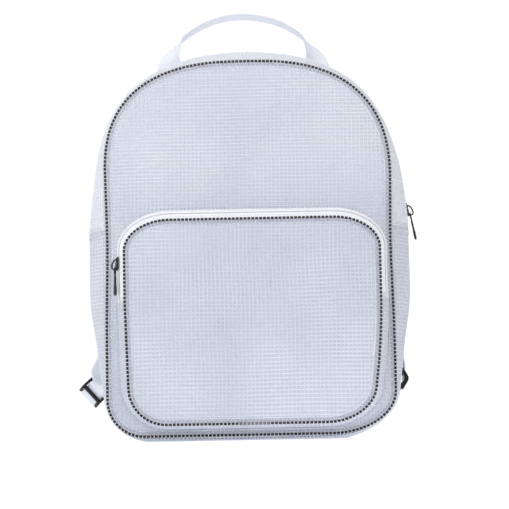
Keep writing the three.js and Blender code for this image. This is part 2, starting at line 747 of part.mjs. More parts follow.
// Two bent side rails and three bars, in a local frame: X down the strap, Y along the bars, Z outwards.
function adjusterGeometry() {
  const { halfLength, bend, rail, halfSlot, halfWidth, barRadius, barSides, middleLevel } = adjuster;
  const half = rail / 2;
  const low = -bend / 2;
  const high = bend / 2;
  const outline = [
    [-halfLength, low - half],
    [-halfLength, low + half],
    [0, high + half],
    [halfLength, low + half],
    [halfLength, low - half],
    [0, high - half],
  ];
  const railWidth = halfWidth - halfSlot;
  const rails = [-1, 1].map((side) => plateGeometry(outline, railWidth, side * (halfSlot + railWidth / 2)));
  const bars = [
    { along: -barAt, out: barLevel },
    { along: 0, out: middleLevel },
    { along: barAt, out: barLevel },
  ].map(({ along, out }) => {
    const bar = new THREE.CylinderGeometry(barRadius, barRadius, 2 * halfSlot + railWidth, barSides);
    return bar.translate(along, 0, out);
  });
  return joined(...rails, ...bars);
}

for (const { name, side, centre, down, bar, strapLine, webbingIn, webbingOut, anchor } of strapSides) {
  const x = down.clone().normalize();
  const y = bar.clone().addScaledVector(x, -bar.dot(x)).normalize();
  const z = cross(x, y);
  const sewnX = side * strap.spread;
  const seated = strap.sewnHeights.map((height) => ({
    place: vector(sewnX, behindBack(sewnX, height, strap.width, strap.thickness), height),
    across: vector(1, 0, 0),
    width: strap.width,
  }));
  const strapStations = [...seated, ...strapLine];
  const strapShape = ribbonGeometry(strapStations, strap.thickness, paddedSection);
  addMesh(`shoulder_strap_${name}`, strapShape, padFinish);

  const { place: strapEnd, across: endAcross } = strapLine.at(-1);
  const endDirection = ribbonCurve(strapStations).getTangent(1);
  const through = adjusterLine.map(({ along, out }) => ({
    place: centre.clone().addScaledVector(x, along).addScaledVector(z, out),
    across: y,
  }));
  const sewn = anchor.map(({ x: ax, z: az, lift, across }) => ({
    place: vector(ax, behindBack(ax, az, webbing.width, webbing.thickness) + lift, az),
    across,
  }));
  const webbingStations = [
    { place: strapEnd.clone().addScaledVector(endDirection, gap), across: endAcross },
    { place: strapEnd.clone().addScaledVector(endDirection, strap.thickness), across: endAcross },
    ...webbingIn,
    ...through,
    ...webbingOut,
    ...sewn,
  ].map((station) => ({ ...station, width: webbing.width }));
  const webbingShape = ribbonGeometry(webbingStations, webbing.thickness, flatSection);
  addMesh(`strap_webbing_${name}`, webbingShape, wovenFinish);
  placeInFrame(addMesh(`adjuster_${name}`, adjusterGeometry(), plasticFinish), centre, x, y, z);
}

export default group;
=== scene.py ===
"""The looks of a clear grid-film backpack: films, yarns, piping, zips, straps and hardware.

Lengths are millimetres in the shared frame, +Z up and the front towards -Y. The meshes are in metres.
"""

import json
import logging
import math
from dataclasses import dataclass
from enum import Enum
from typing import NamedTuple, Sequence

import bpy
import numpy as np
from mathutils import Euler, Matrix, Vector


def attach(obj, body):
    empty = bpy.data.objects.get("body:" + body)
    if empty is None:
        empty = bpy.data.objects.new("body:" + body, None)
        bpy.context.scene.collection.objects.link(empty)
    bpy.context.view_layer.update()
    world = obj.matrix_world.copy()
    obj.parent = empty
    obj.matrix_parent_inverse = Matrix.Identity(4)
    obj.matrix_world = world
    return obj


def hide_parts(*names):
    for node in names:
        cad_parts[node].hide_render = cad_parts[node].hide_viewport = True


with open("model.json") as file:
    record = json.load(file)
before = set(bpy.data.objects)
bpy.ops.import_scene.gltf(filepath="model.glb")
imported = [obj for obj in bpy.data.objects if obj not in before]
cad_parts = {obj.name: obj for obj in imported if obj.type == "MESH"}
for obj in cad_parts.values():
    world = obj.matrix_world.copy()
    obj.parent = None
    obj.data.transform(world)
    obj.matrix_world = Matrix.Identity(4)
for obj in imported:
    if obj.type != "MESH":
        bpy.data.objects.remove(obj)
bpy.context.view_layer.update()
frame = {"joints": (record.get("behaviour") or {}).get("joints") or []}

Array = np.ndarray
Pair = tuple[float, float]
Triple = tuple[float, float, float]
Colour = Triple
log = logging.getLogger("backpack")

# One millimetre in metres, the gap between neighbours, and the film's thickness and inset from the piping
MM = 0.001
GAP = 0.35
FILM = 1.4
EDGE = 0.4

# The Y of the three walls' outlines
FRONT_PLANE = -55.0
BACK_PLANE = 55.0
POCKET_PLANE = -86.0

# Powers of a superellipse: a true ellipse, an oval with flatter sides and a rounded rectangle
ROUND = 2.0
OVAL = 3.0
SQUARISH = 4.0

# Points and steps of an outline's stretches
ARC_POINTS = 32
ARCH_POINTS = 200
LEAN_POINTS = 24
OUTLINE_STEPS = 600

X_AXIS, Y_AXIS, Z_AXIS = np.eye(3)


class Body(Enum):
    """The bodies that move on their own."""

    BAG = "bag"
    MAIN_PULL = "main_pull"
    POCKET_PULL = "pocket_pull"


class Slot(Enum):
    """The record's material slots."""

    FILM = "film"
    ZIP_TAPE = "zip_tape"
    PIPING = "piping"
    ZIP_METAL = "zip_metal"
    WEBBING = "webbing"
    STRAP = "strap"
    ADJUSTER = "adjuster"


class Side(Enum):
    """The wearer's side of the bag, as the sign of X."""

    LEFT = -1
    RIGHT = 1

    @property
    def word(self) -> str:
        """The side's name in a piece's name."""
        return self.name.lower()


# Arrays and lines


def unit(vectors: Array) -> Array:
    """Vectors of length one along the last axis."""
    return vectors / np.linalg.norm(vectors, axis=-1, keepdims=True)


def walked_length(line: Array) -> Array:
    """Length walked from the first point to each point of a line."""
    steps = np.linalg.norm(np.diff(line, axis=0), axis=1)
    return np.concatenate(([0.0], np.cumsum(steps)))


def columns_at(marks: Array, knots: Array, table: Array) -> Array:
    """Linear interpolation of every column of a table at the marks."""
    return np.stack([np.interp(marks, knots, column) for column in table.T], axis=1)


def even_points(line: Array, steps: int) -> Array:
    """Points at even distances along a line.

    Args:
        line: points of a polyline, one row each.
        steps: number of even steps.

    Returns:
        steps + 1 points, found by interpolating on the walked length.
    """
    walked = walked_length(line)
    return columns_at(np.linspace(0.0, walked[-1], steps + 1), walked, line)


def smooth_line(knots: Array, steps: int) -> Array:
    """A centripetal spline through points.

    Each span is the cubic between two points whose end slopes come from the neighbouring points, with knots
    spaced by the square root of the distance. The first and last point are mirrored to bound the end spans.

    Args:
        knots: points that the line passes through, one row each.
        steps: steps in each span.

    Returns:
        The points of the line, ends included.
    """
    before = 2 * knots[0] - knots[1]
    after = 2 * knots[-1] - knots[-2]
    full = np.concatenate(([before], knots, [after]))
    p0, p1, p2, p3 = full[:-3], full[1:-2], full[2:-1], full[3:]
    gaps = (p1 - p0, p2 - p1, p3 - p2)
    d0, d1, d2 = (np.sqrt(np.linalg.norm(gap, axis=1))[:, None] for gap in gaps)
    leave = d1 * ((p1 - p0) / d0 - (p2 - p0) / (d0 + d1) + (p2 - p1) / d1)
    arrive = d1 * ((p2 - p1) / d1 - (p3 - p1) / (d1 + d2) + (p3 - p2) / d2)
    t = (np.arange(steps) / steps)[None, :, None]
    c2 = 3 * (p2 - p1) - 2 * leave - arrive
    c3 = 2 * (p1 - p2) + leave + arrive
    spans = p1[:, None] + leave[:, None] * t + c2[:, None] * t**2 + c3[:, None] * t**3
    return np.concatenate((spans.reshape(-1, knots.shape[1]), knots[-1:]))


def everywhere(vector: Array, points: Array) -> Array:
    """One vector for every point of an array of points."""
    return np.broadcast_to(vector, points.shape)


def standing(flat: Array, y: float) -> Array:
    """Points of the XZ plane set at a depth."""
    return np.stack((flat[..., 0], np.full(flat.shape[:-1], y), flat[..., 1]), axis=-1)


def arc(centre: Pair, radii: Pair, start: float, end: float) -> Array:
    """Points of an elliptic arc in the XZ plane, with angles in degrees from +X towards +Z."""
    angle = np.radians(np.linspace(start, end, ARC_POINTS))
    return np.array(centre) + np.stack((np.cos(angle), np.sin(angle)), axis=1) * np.array(radii)


def squared(angle: Array, power: float) -> Array:
    """Signed powers of the cosine and sine of angles: a circle that is squarer as the power grows."""
    wave = np.stack((np.cos(angle), np.sin(angle)), axis=1)
    return np.sign(wave) * np.abs(wave) ** (2 / power)


def superellipse(half_x: float, half_y: float, power: float, count: int) -> Array:
    """A closed section: a squared circle stretched to two half sizes."""
    angle = np.linspace(0.0, 2 * np.pi, count, endpoint=False)
    return squared(angle, power) * np.array([half_x, half_y])


def two_faced(share: Array, height: Array) -> Array:
    """A closed section from heights at shares across: the upper line and its mirror image, turned back."""
    top = np.stack((share, height), axis=1)
    return np.concatenate((top, top[::-1] * np.array([1.0, -1.0])))


# Shapes


@dataclass
class Shape:
    """Points with faces, and each point's own surface coordinates along and across, in millimetres."""

    points: Array
    faces: list[Array]
    surface: Array

    @staticmethod
    def joined(shapes: Sequence["Shape"]) -> "Shape":
        """Several shapes as one, with their faces renumbered."""
        starts = np.cumsum([0] + [len(shape.points) for shape in shapes[:-1]])
        faces = [block + start for shape, start in zip(shapes, starts) for block in shape.faces]
        points = np.concatenate([shape.points for shape in shapes])
        return Shape(points, faces, np.concatenate([shape.surface for shape in shapes]))


def grid_faces(rows: int, columns: int, wrap_rows: bool = False, wrap_columns: bool = False) -> Array:
    """Quads of a grid of points, row by row, joined round where it wraps."""
    row = np.arange(rows if wrap_rows else rows - 1)
    column = np.arange(columns if wrap_columns else columns - 1)
    i, j = np.meshgrid(row, column, indexing="ij")
    next_i, next_j = (i + 1) % rows, (j + 1) % columns
    corners = (i * columns + j, next_i * columns + j, next_i * columns + next_j, i * columns + next_j)
    return np.stack([corner.ravel() for corner in corners], axis=1)


def grid_surface(points: Array) -> Array:
    """Surface coordinates of a grid: mean walked length along its rows and across its columns."""
    along = np.linalg.norm(np.diff(points, axis=0), axis=2).mean(axis=1)
    across = np.linalg.norm(np.diff(points, axis=1), axis=2).mean(axis=0)
    u = np.concatenate(([0.0], np.cumsum(along)))
    v = np.concatenate(([0.0], np.cumsum(across)))
    return np.stack(np.meshgrid(u, v, indexing="ij"), axis=2).reshape(-1, 2)


def grid_shape(points: Array, flip: bool = False) -> Shape:
    """An open sheet over a grid of points, rows by columns."""
    faces = grid_faces(*points.shape[:2])
    return Shape(points.reshape(-1, 3), [faces[:, ::-1] if flip else faces], grid_surface(points))


def grid_normals(points: Array) -> Array:
    """Unit normals of a grid: the cross product of the directions along and across."""
    return unit(np.cross(np.gradient(points, axis=0), np.gradient(points, axis=1)))


def carried(path: Array, across: Array, up: Array, profile: Array, closed: bool = False) -> Shape:
    """A closed profile carried along a path.

    A point is the path's point plus the profile's first value along across and its second along up. An open
    path is capped at both ends by the profile itself.

    Args:
        path: points of the path, n rows.
        across: unit vectors for the profile's first value.
        up: unit vectors for the profile's second value.
        profile: m x 2 values, or n x m x 2 where the profile changes along the path.
        closed: whether the path returns to its start.

    Returns:
        The swept solid.
    """
    profile = np.broadcast_to(profile, (len(path),) + profile.shape[-2:])
    points = path[:, None] + across[:, None] * profile[..., :1] + up[:, None] * profile[..., 1:]
    rows, columns = points.shape[:2]
    faces = [grid_faces(rows, columns, closed, True)]
    if not closed:
        faces += [np.arange(columns)[None, :], (rows - 1) * columns + np.arange(columns)[None, ::-1]]
    along = np.broadcast_to(walked_length(path)[:, None], (rows, columns))
    surface = np.stack((along, profile[..., 0]), axis=2).reshape(-1, 2)
    return outward(Shape(points.reshape(-1, 3), faces, surface))


def outward(shape: Shape) -> Shape:
    """A closed shape with its faces turned out, by the sign of its volume."""
    volume = 0.0
    for block in shape.faces:
        corners = shape.points[block] - shape.points[0]
        for last in range(2, block.shape[1]):
            normal = np.cross(corners[:, last - 1], corners[:, last])
            volume += np.einsum("ij,ij->i", corners[:, 0], normal).sum()
    if volume < 0:
        shape.faces = [block[:, ::-1] for block in shape.faces]
    return shape


def lozenge(
    length: float,
    half_width: float,
    half_height: float,
    sides: int = 6,
    rings: int = 4,
    bluntness: float = 2.5,
) -> Shape:
    """A small rounded bar along local X.

    A ring's size is the root of one minus a power of its share of the way from the middle to an end.

    Args:
        length: the bar's length.
        half_width: half its size along local Y.
        half_height: half its size along local Z.
        sides: points round each ring.
        rings: rings between the two ends.
        bluntness: the power, which makes the ends blunter as it grows.

    Returns:
        The closed bar.
    """
    t = np.linspace(-1.0, 1.0, rings + 2)[1:-1]
    size = (1 - np.abs(t) ** bluntness) ** 0.5
    angle = np.linspace(0.0, 2 * np.pi, sides, endpoint=False)
    ring = np.stack((np.zeros(sides), half_width * np.cos(angle), half_height * np.sin(angle)), axis=1)
    tip = X_AXIS * length / 2
    points = size[:, None, None] * ring + tip * t[:, None, None]
    points = np.concatenate((points.reshape(-1, 3), [-tip, tip]))
    count = rings * sides
    around = np.arange(sides)
    ahead = (around + 1) % sides
    final = count - sides
    first_fan = np.stack((around, ahead, np.full(sides, count)), axis=1)
    last_fan = np.stack((final + ahead, final + around, np.full(sides, count + 1)), axis=1)
    faces = [grid_faces(rings, sides, False, True), first_fan, last_fan]
    return outward(Shape(points, faces, np.zeros((len(points), 2))))


def repeated(shape: Shape, places: Array, axes: Array) -> Shape:
    """Copies of a small shape.

    Args:
        shape: the shape in its local frame.
        places: k places, one row each.
        axes: k x 3 x 3 unit vectors, rows being the local X, Y and Z directions.

    Returns:
        All the copies as one shape, each point its place plus its local values along the axes.
    """
    count = len(shape.points)
    points = places[:, None] + np.einsum("ni,kij->knj", shape.points, axes)
    shift = (np.arange(len(places)) * count)[:, None, None]
    faces = [(block[None] + shift).reshape(-1, block.shape[1]) for block in shape.faces]
    return Shape(points.reshape(-1, 3), faces, np.tile(shape.surface, (len(places), 1)))


def along_line(shape: Shape, line: Array, normals: Array, pitch: float, closed: bool = False) -> Shape:
    """Copies of a shape spaced evenly along a line, local X along it and local Z along the normals."""
    walked = walked_length(line)
    count = max(int(round(walked[-1] / pitch)), 1)
    marks = (np.arange(count) + (0.0 if closed else 0.5)) * walked[-1] / count
    places = columns_at(marks, walked, line)
    x = unit(columns_at(marks, walked, np.gradient(line, axis=0)))
    normal = columns_at(marks, walked, normals)
    y = unit(np.cross(normal, x))
    return repeated(shape, places, np.stack((x, y, np.cross(x, y)), axis=1))


def strands(centres: Array, normals: Array, half_width: float, half_height: float) -> Shape:
    """Flat yarns with a lens section, widest in the film's plane and standing proud of both faces.

    Args:
        centres: k lines of n points, k x n x 3.
        normals: the film's normals at those points.
        half_width: half a yarn's width.
        half_height: how far it stands proud of the middle of the film.

    Returns:
        All the yarns as closed solids in one shape.
    """
    tangent = unit(np.gradient(centres, axis=1))
    across = unit(np.cross(normals, tangent))
    wide, tall = across * half_width, normals * half_height
    points = centres[:, :, None] + np.stack((wide, tall, -wide, -tall), axis=2)
    lines, count = centres.shape[:2]
    shift = (np.arange(lines) * count * 4)[:, None, None]
    sides = grid_faces(count, 4, False, True)
    start = np.arange(4)[None, :]
    caps = np.concatenate((start, start[:, ::-1] + (count - 1) * 4))
    blocks = [(block[None, :, ::-1] + shift).reshape(-1, 4) for block in (sides, caps)]
    along = np.broadcast_to(np.linspace(0.0, 1.0, count)[None, :, None], (lines, count, 4))
    surface = np.stack((along, np.zeros_like(along)), axis=3).reshape(-1, 2)
    return Shape(points.reshape(-1, 3), blocks, surface)


# Shader nodes


class Graph:
    """Adds shader nodes to one tree and links them."""

    def __init__(self, tree: bpy.types.NodeTree) -> None:
        """Keep the tree that nodes are added to."""
        self.tree = tree

    def add(
        self, kind: str, inputs: dict[object, object] | None = None, **settings: object
    ) -> bpy.types.Node:
        """Add a node.

        Args:
            kind: the node's type name.
            inputs: values by input name or number; a socket is linked and anything else is set.
            **settings: properties of the node.

        Returns:
            The new node.
        """
        node = self.tree.nodes.new(kind)
        for key, value in settings.items():
            setattr(node, key, value)
        for key, value in (inputs or {}).items():
            if isinstance(value, bpy.types.NodeSocket):
                self.tree.links.new(value, node.inputs[key])
            else:
                node.inputs[key].default_value = value
        return node

    def math(self, operation: str, *values: object) -> bpy.types.NodeSocket:
        """A Math node's result."""
        return self.add("ShaderNodeMath", dict(enumerate(values)), operation=operation).outputs[0]

    def ranged(self, value: bpy.types.NodeSocket, low: float, high: float) -> bpy.types.NodeSocket:
        """A value from 0 to 1 spread between low and high."""
        inputs = {"Value": value, "To Min": low, "To Max": high}
        return self.add("ShaderNodeMapRange", inputs).outputs["Result"]

    def mixed(self, share: bpy.types.NodeSocket, low: Colour, high: Colour) -> bpy.types.NodeSocket:
        """A colour between low and high."""
        node = self.add("ShaderNodeMix", {0: share, 6: (*low, 1.0), 7: (*high, 1.0)}, data_type="RGBA")
        return node.outputs[2]


def new_group(
    name: str, values: dict[str, float], outputs: Sequence[str]
) -> tuple[bpy.types.NodeTree, Graph, dict[str, bpy.types.NodeSocket]]:
    """Start a shader node group that takes a Vector and some values.

    Args:
        name: the group's name.
        values: names and defaults of its value inputs.
        outputs: names of its value outputs.

    Returns:
        The group, a graph for its nodes and its input sockets by name.
    """
    group = bpy.data.node_groups.new(name, "ShaderNodeTree")
    group.interface.new_socket(name="Vector", in_out="INPUT", socket_type="NodeSocketVector")
    for key, default in values.items():
        socket = group.interface.new_socket(name=key, in_out="INPUT", socket_type="NodeSocketFloat")
        socket.default_value = default
    for key in outputs:
        group.interface.new_socket(name=key, in_out="OUTPUT", socket_type="NodeSocketFloat")
    graph = Graph(group)
    entry = graph.add("NodeGroupInput")
    return group, graph, {socket.name: socket for socket in entry.outputs}


# The share of coarse noise in clouding, the blend's useful range, and a weave's share and its fine noise
COARSE_SHARE = 0.65
CLOUD_RANGE = (0.3, 0.7)
THREAD_SHARE = 0.6
THREAD_NOISE = 900.0


def cloud_group() -> bpy.types.NodeTree:
    """Soft clouding: coarse and fine noise, as a shade from 0 to 1 and a height."""
    group, graph, given = new_group("soft_clouding", {"Coarse": 12.0, "Fine": 160.0}, ("Shade", "Height"))
    noise = {}
    for name, detail in (("Coarse", 2.0), ("Fine", 3.0)):
        inputs = {"Vector": given["Vector"], "Scale": given[name], "Detail": detail}
        noise[name] = graph.add("ShaderNodeTexNoise", inputs).outputs["Fac"]
    coarse = graph.math("MULTIPLY", noise["Coarse"], COARSE_SHARE)
    blend = graph.math("MULTIPLY_ADD", noise["Fine"], 1 - COARSE_SHARE, coarse)
    darkest, palest = CLOUD_RANGE
    shade = graph.add("ShaderNodeMapRange", {"Value": blend, "From Min": darkest, "From Max": palest})
    graph.add("NodeGroupOutput", {"Shade": shade.outputs["Result"], "Height": noise["Fine"]})
    return group


def weave_group() -> bpy.types.NodeTree:
    """A plain weave: the product of two sine waves, as raised threads, with slight unevenness."""
    group, graph, given = new_group("plain_weave", {"Along": 0.001, "Across": 0.001}, ("Shade", "Height"))
    split = graph.add("ShaderNodeSeparateXYZ", {"Vector": given["Vector"]})
    turns = []
    for axis, pitch in (("X", "Along"), ("Y", "Across")):
        phase = graph.math("DIVIDE", split.outputs[axis], given[pitch])
        turns.append(graph.math("SINE", graph.math("MULTIPLY", phase, 2 * math.pi)))
    weave = graph.math("MULTIPLY", turns[0], turns[1])
    height = graph.math("MULTIPLY_ADD", weave, 0.5, 0.5)
    inputs = {"Vector": given["Vector"], "Scale": THREAD_NOISE, "Detail": 2.0}
    noise = graph.add("ShaderNodeTexNoise", inputs).outputs["Fac"]
    uneven = graph.math("MULTIPLY", noise, 1 - THREAD_SHARE)
    shade = graph.math("MULTIPLY_ADD", height, THREAD_SHARE, uneven)
    graph.add("NodeGroupOutput", {"Shade": shade, "Height": height})
    return group


class Effect(Enum):
    """Surface effects that materials share, as node groups that are made once."""

    CLOUD = "soft_clouding"
    WEAVE = "plain_weave"

    def group(self) -> bpy.types.NodeTree:
        """The effect's node group."""
        made = bpy.data.node_groups.get(self.value)
        if made is None:
            made = {Effect.CLOUD: cloud_group, Effect.WEAVE: weave_group}[self]()
        return made


@dataclass(frozen=True)
class Finish:
    """A surface finish: two colours mixed by an effect, gloss and fine relief.

    Scales are the effect's two values: noise scales for clouding, and thread pitches in metres for a weave.
    Glow is the light that the surface gives, to other pieces first and then to the camera.
    """

    name: str
    low: Colour
    high: Colour
    roughness: Pair = (0.5, 0.6)
    effect: Effect = Effect.CLOUD
    scales: Pair = (40.0, 900.0)
    relief: float = 0.0
    metallic: float = 0.0
    coat: float = 0.0
    sheen: float = 0.0
    specular: float = 0.5
    glow: Pair | None = None
    alpha: Pair | None = None
    on_surface: bool = False

    def material(self) -> bpy.types.Material:
        """The finish's material, made at its first use."""
        made = bpy.data.materials.get(self.name)
        return made if made else self.build()

    def build(self) -> bpy.types.Material:
        """Make the material: effect group, colour mix, roughness and bump into one Principled shader."""
        material = bpy.data.materials.new(self.name)
        material.use_nodes = True
        material.node_tree.nodes.clear()
        graph = Graph(material.node_tree)
        coordinates = graph.add("ShaderNodeTexCoord").outputs["UV" if self.on_surface else "Object"]
        group = graph.add("ShaderNodeGroup", node_tree=self.effect.group())
        graph.tree.links.new(coordinates, group.inputs["Vector"])
        for socket, scale in zip(list(group.inputs)[1:], self.scales):
            socket.default_value = scale
        shade = group.outputs["Shade"]
        inputs: dict[object, object] = {
            "Base Color": graph.mixed(shade, self.low, self.high),
            "Roughness": graph.ranged(shade, *self.roughness),
            "Metallic": self.metallic,
            "Coat Weight": self.coat,
            "Sheen Weight": self.sheen,
            "Specular IOR Level": self.specular,
        }
        if self.glow:
            seen = graph.add("ShaderNodeLightPath").outputs["Is Camera Ray"]
            inputs["Emission Color"] = (1.0, 1.0, 1.0, 1.0)
            inputs["Emission Strength"] = graph.ranged(seen, *self.glow)
        if self.alpha:
            inputs["Alpha"] = graph.ranged(shade, *self.alpha)
        if self.relief > 0:
            bump = {"Height": group.outputs["Height"], "Strength": 1.0, "Distance": self.relief * MM}
            inputs["Normal"] = graph.add("ShaderNodeBump", bump).outputs["Normal"]
        shader = graph.add("ShaderNodeBsdfPrincipled", inputs)
        graph.add("ShaderNodeOutputMaterial", {"Surface": shader.outputs["BSDF"]})
        return material


def clear_film(
    name: str, low: Colour, high: Colour, alpha: Pair = (0.82, 0.88), coat: float = 0.15
) -> Finish:
    """A glossy film with slight waves, which lets a little light through."""
    return Finish(name, low, high, (0.22, 0.4), scales=(9.0, 140.0), relief=0.12, alpha=alpha, coat=coat)


def yarn(name: str, low: Colour, high: Colour, scales: Pair = (12.0, 210.0)) -> Finish:
    """A satin yarn with painted glints: its brightness changes in broad zones."""
    return Finish(name, low, high, (0.35, 0.55), scales=scales)


def thread(name: str, low: Colour, high: Colour) -> Finish:
    """A matt sewing thread."""
    return Finish(name, low, high, (0.6, 0.8), scales=(300.0, 2500.0))


CLEAR_FILM = clear_film("clear_film", (0.65, 0.69, 0.79), (0.73, 0.77, 0.87))
POCKET_FILM = clear_film("pocket_film", (0.61, 0.65, 0.755), (0.69, 0.73, 0.835))
# A paler copy of the clear film and its yarns for the strips beside the zip: the paleness is painted light
# from above and at grazing angles
LIT_STRIP_FILM = clear_film("strip_film_painted_light", (0.80, 0.835, 0.91), (0.88, 0.915, 0.985), (0.86, 0.92), 0.2)
# The folded hem beside the piping: partly the hem's real doubled film, partly painted shade in the hollow
# beside the piping
HEM_SHADE_FILM = Finish(
    "hem_film_painted_shade", (0.42, 0.45, 0.53), (0.54, 0.57, 0.65), (0.35, 0.5), scales=(14.0, 300.0),
    alpha=(0.03, 0.14),
)
# A dark strip along the gusset's pipings: partly the seam allowance, partly painted shade hugging the
# piping's edge
SEAM_SHADE_FILM = Finish(
    "seam_film_painted_shade", (0.24, 0.255, 0.29), (0.36, 0.375, 0.42), (0.4, 0.55), scales=(14.0, 300.0),
    alpha=(0.2, 0.55),
)
# Painted highlight: a bright strand, seen in patches, that stands for light caught where the film is folded
# beside the piping
FOLD_HIGHLIGHT = Finish(
    "painted_fold_highlight", (0.84, 0.88, 0.99), (0.90, 0.935, 1.0), (0.25, 0.4), scales=(7.0, 60.0),
    alpha=(0.0, 0.8),
)
# The yarns' brighter zones are painted glints of light on the yarn
UPRIGHT_YARN = yarn("upright_yarn", (0.57, 0.605, 0.70), (0.80, 0.83, 0.915), (8.0, 26.0))
LEVEL_YARN = yarn("level_yarn", (0.57, 0.605, 0.70), (0.85, 0.88, 0.96), (7.0, 19.0))
FAINT_YARN = yarn("faint_yarn", (0.63, 0.665, 0.76), (0.73, 0.765, 0.86))
LIT_STRIP_YARN = yarn("strip_yarn_painted_light", (0.76, 0.79, 0.87), (0.92, 0.95, 1.0))
PIPING_CORE = Finish("piping_core", (0.80, 0.815, 0.86), (0.90, 0.915, 0.95), (0.45, 0.6))
PIPING_BEAD = Finish(
    "piping_bead", (0.004, 0.004, 0.006), (0.012, 0.012, 0.016), (0.3, 0.45), specular=0.15,
)
PIPING_SLEEVE = Finish(
    "piping_sleeve", (0.74, 0.76, 0.82), (0.84, 0.86, 0.91), (0.15, 0.25), alpha=(0.02, 0.05), specular=0.2,
)
PIPING_WRAP = Finish("piping_wrap", (0.52, 0.54, 0.60), (0.64, 0.66, 0.72), (0.3, 0.45), alpha=(0.15, 0.3))
ZIP_TAPE = Finish(
    "woven_tape", (0.89, 0.92, 0.99), (0.97, 0.985, 1.0), (0.75, 0.9), Effect.WEAVE, (0.0012, 0.0012),
    relief=0.12, on_surface=True,
)
SEAM_TAPE = Finish(
    "seam_tape", (0.74, 0.77, 0.85), (0.82, 0.85, 0.92), (0.5, 0.7), Effect.WEAVE, (0.0015, 0.0015),
    relief=0.1, alpha=(0.45, 0.6), on_surface=True,
)
ZIP_COIL = Finish("zip_coil", (0.94, 0.955, 0.99), (0.98, 0.985, 1.0), (0.3, 0.45))
WEBBING = Finish(
    "woven_webbing", (0.75, 0.79, 0.87), (0.88, 0.92, 0.99), (0.7, 0.88), Effect.WEAVE, (0.0022, 0.0030),
    relief=0.2, on_surface=True,
)
STRAP_FILM = Finish(
    "strap_film", (0.88, 0.91, 0.97), (0.95, 0.97, 1.0), (0.3, 0.45), scales=(14.0, 220.0), relief=0.1,
    coat=0.1,
)
WHITE_THREAD = thread("white_thread", (0.78, 0.80, 0.84), (0.90, 0.91, 0.94))
GREY_THREAD = thread("grey_thread", (0.34, 0.35, 0.39), (0.50, 0.51, 0.56))
DARK_THREAD = thread("dark_thread", (0.10, 0.105, 0.12), (0.20, 0.21, 0.24))
BLACK_METAL = Finish(
    "black_metal", (0.010, 0.010, 0.012), (0.024, 0.024, 0.027), (0.26, 0.4), scales=(180.0, 1400.0),
    relief=0.02, specular=0.35, coat=0.05,
)
BLACK_PLASTIC = Finish(
    "black_plastic", (0.009, 0.009, 0.012), (0.018, 0.018, 0.022), (0.38, 0.52), scales=(160.0, 1800.0),
    relief=0.03, specular=0.22,
)
PALE_FLOOR = Finish(
    "pale_floor", (0.80, 0.80, 0.81), (0.84, 0.84, 0.84), (0.8, 0.9), scales=(3.0, 60.0), specular=0.0,
    glow=(0.45, 0.55),
)


@dataclass(frozen=True)
class FilmLook:
    """The finishes of a stretch of film and of the yarns that run along or up it, and across it."""

    film: Finish
    along: Finish
    across: Finish


WALL_LOOK = FilmLook(CLEAR_FILM, UPRIGHT_YARN, LEVEL_YARN)
POCKET_LOOK = FilmLook(POCKET_FILM, FAINT_YARN, LEVEL_YARN)
BAND_LOOK = FilmLook(CLEAR_FILM, FAINT_YARN, LEVEL_YARN)
# The strips beside the zip take the paler film and yarns of painted light
STRIP_LOOK = FilmLook(LIT_STRIP_FILM, LIT_STRIP_YARN, LIT_STRIP_FILM)


def place(
    name: str,
    shape: Shape,
    finish: Finish,
    slot: Slot,
    body: Body = Body.BAG,
    stands_for: Sequence[str] = (),
) -> bpy.types.Object:
    """Turn a shape into a piece that rides on a body.

    Args:
        name: the piece's name.
        shape: its points, faces and surface coordinates, in millimetres.
        finish: its surface finish.
        slot: the record's slot; not used.
        body: the body that it moves with.
        stands_for: solids that it shows in place of.

    Returns:
        The piece, at the origin with its place in its mesh.
    """
    mesh = bpy.data.meshes.new(name)
    faces = [face for block in shape.faces for face in block.tolist()]
    mesh.from_pydata((shape.points * MM).tolist(), [], faces)
    corners = np.zeros(len(mesh.loops), np.int32)
    mesh.loops.foreach_get("vertex_index", corners)
    layer = mesh.uv_layers.new(name="surface")
    layer.data.foreach_set("uv", (shape.surface[corners] * MM).astype(np.float32).ravel())
    mesh.polygons.foreach_set("use_smooth", np.ones(len(mesh.polygons), bool))
    mesh.materials.append(finish.material())
    mesh.update()
    piece = bpy.data.objects.new(name, mesh)
    bpy.context.scene.collection.objects.link(piece)
    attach(piece, body.value)
    if stands_for:
        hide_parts(*stands_for)
    log.info("%s: %d faces on %s", name, len(faces), body.value)
    return piece


# Outlines


class Loop:
    """A closed outline in the XZ plane, clockwise seen from the front, from the left seam over the top."""

    def __init__(self, upper: Array, lower: Array, upper_steps: int, lower_steps: int) -> None:
        """Space the points evenly along the upper and the lower line, and find the outward normals.

        Args:
            upper: line from the left seam over the top to the right seam.
            lower: line from the right seam round the bottom to the left seam.
            upper_steps: even steps along the upper line.
            lower_steps: even steps along the lower line.
        """
        self.upper = np.arange(upper_steps + 1)
        self.lower = np.arange(upper_steps, upper_steps + lower_steps + 1)
        runs = ((upper, upper_steps), (lower, lower_steps))
        self.points = np.concatenate([even_points(line, count)[:-1] for line, count in runs])
        ahead = unit(np.roll(self.points, -1, axis=0) - np.roll(self.points, 1, axis=0))
        self.out = np.stack((-ahead[:, 1], ahead[:, 0]), axis=1)
        steps = np.linalg.norm(np.roll(self.points, -1, axis=0) - self.points, axis=1)
        walked = np.cumsum(steps) - steps
        self.length = steps.sum()
        past_top = (walked - walked[upper_steps // 2]) % self.length
        self.height_share = np.abs(1 - 2 * past_top / self.length)

    def inset(self, distance: float) -> Array:
        """The outline's points moved inwards."""
        return self.points - self.out * distance

    def seams(self) -> tuple[tuple[Side, int], tuple[Side, int]]:
        """The two sides and the numbers of the points where the upper line ends."""
        return (Side.LEFT, 0), (Side.RIGHT, len(self.upper) - 1)


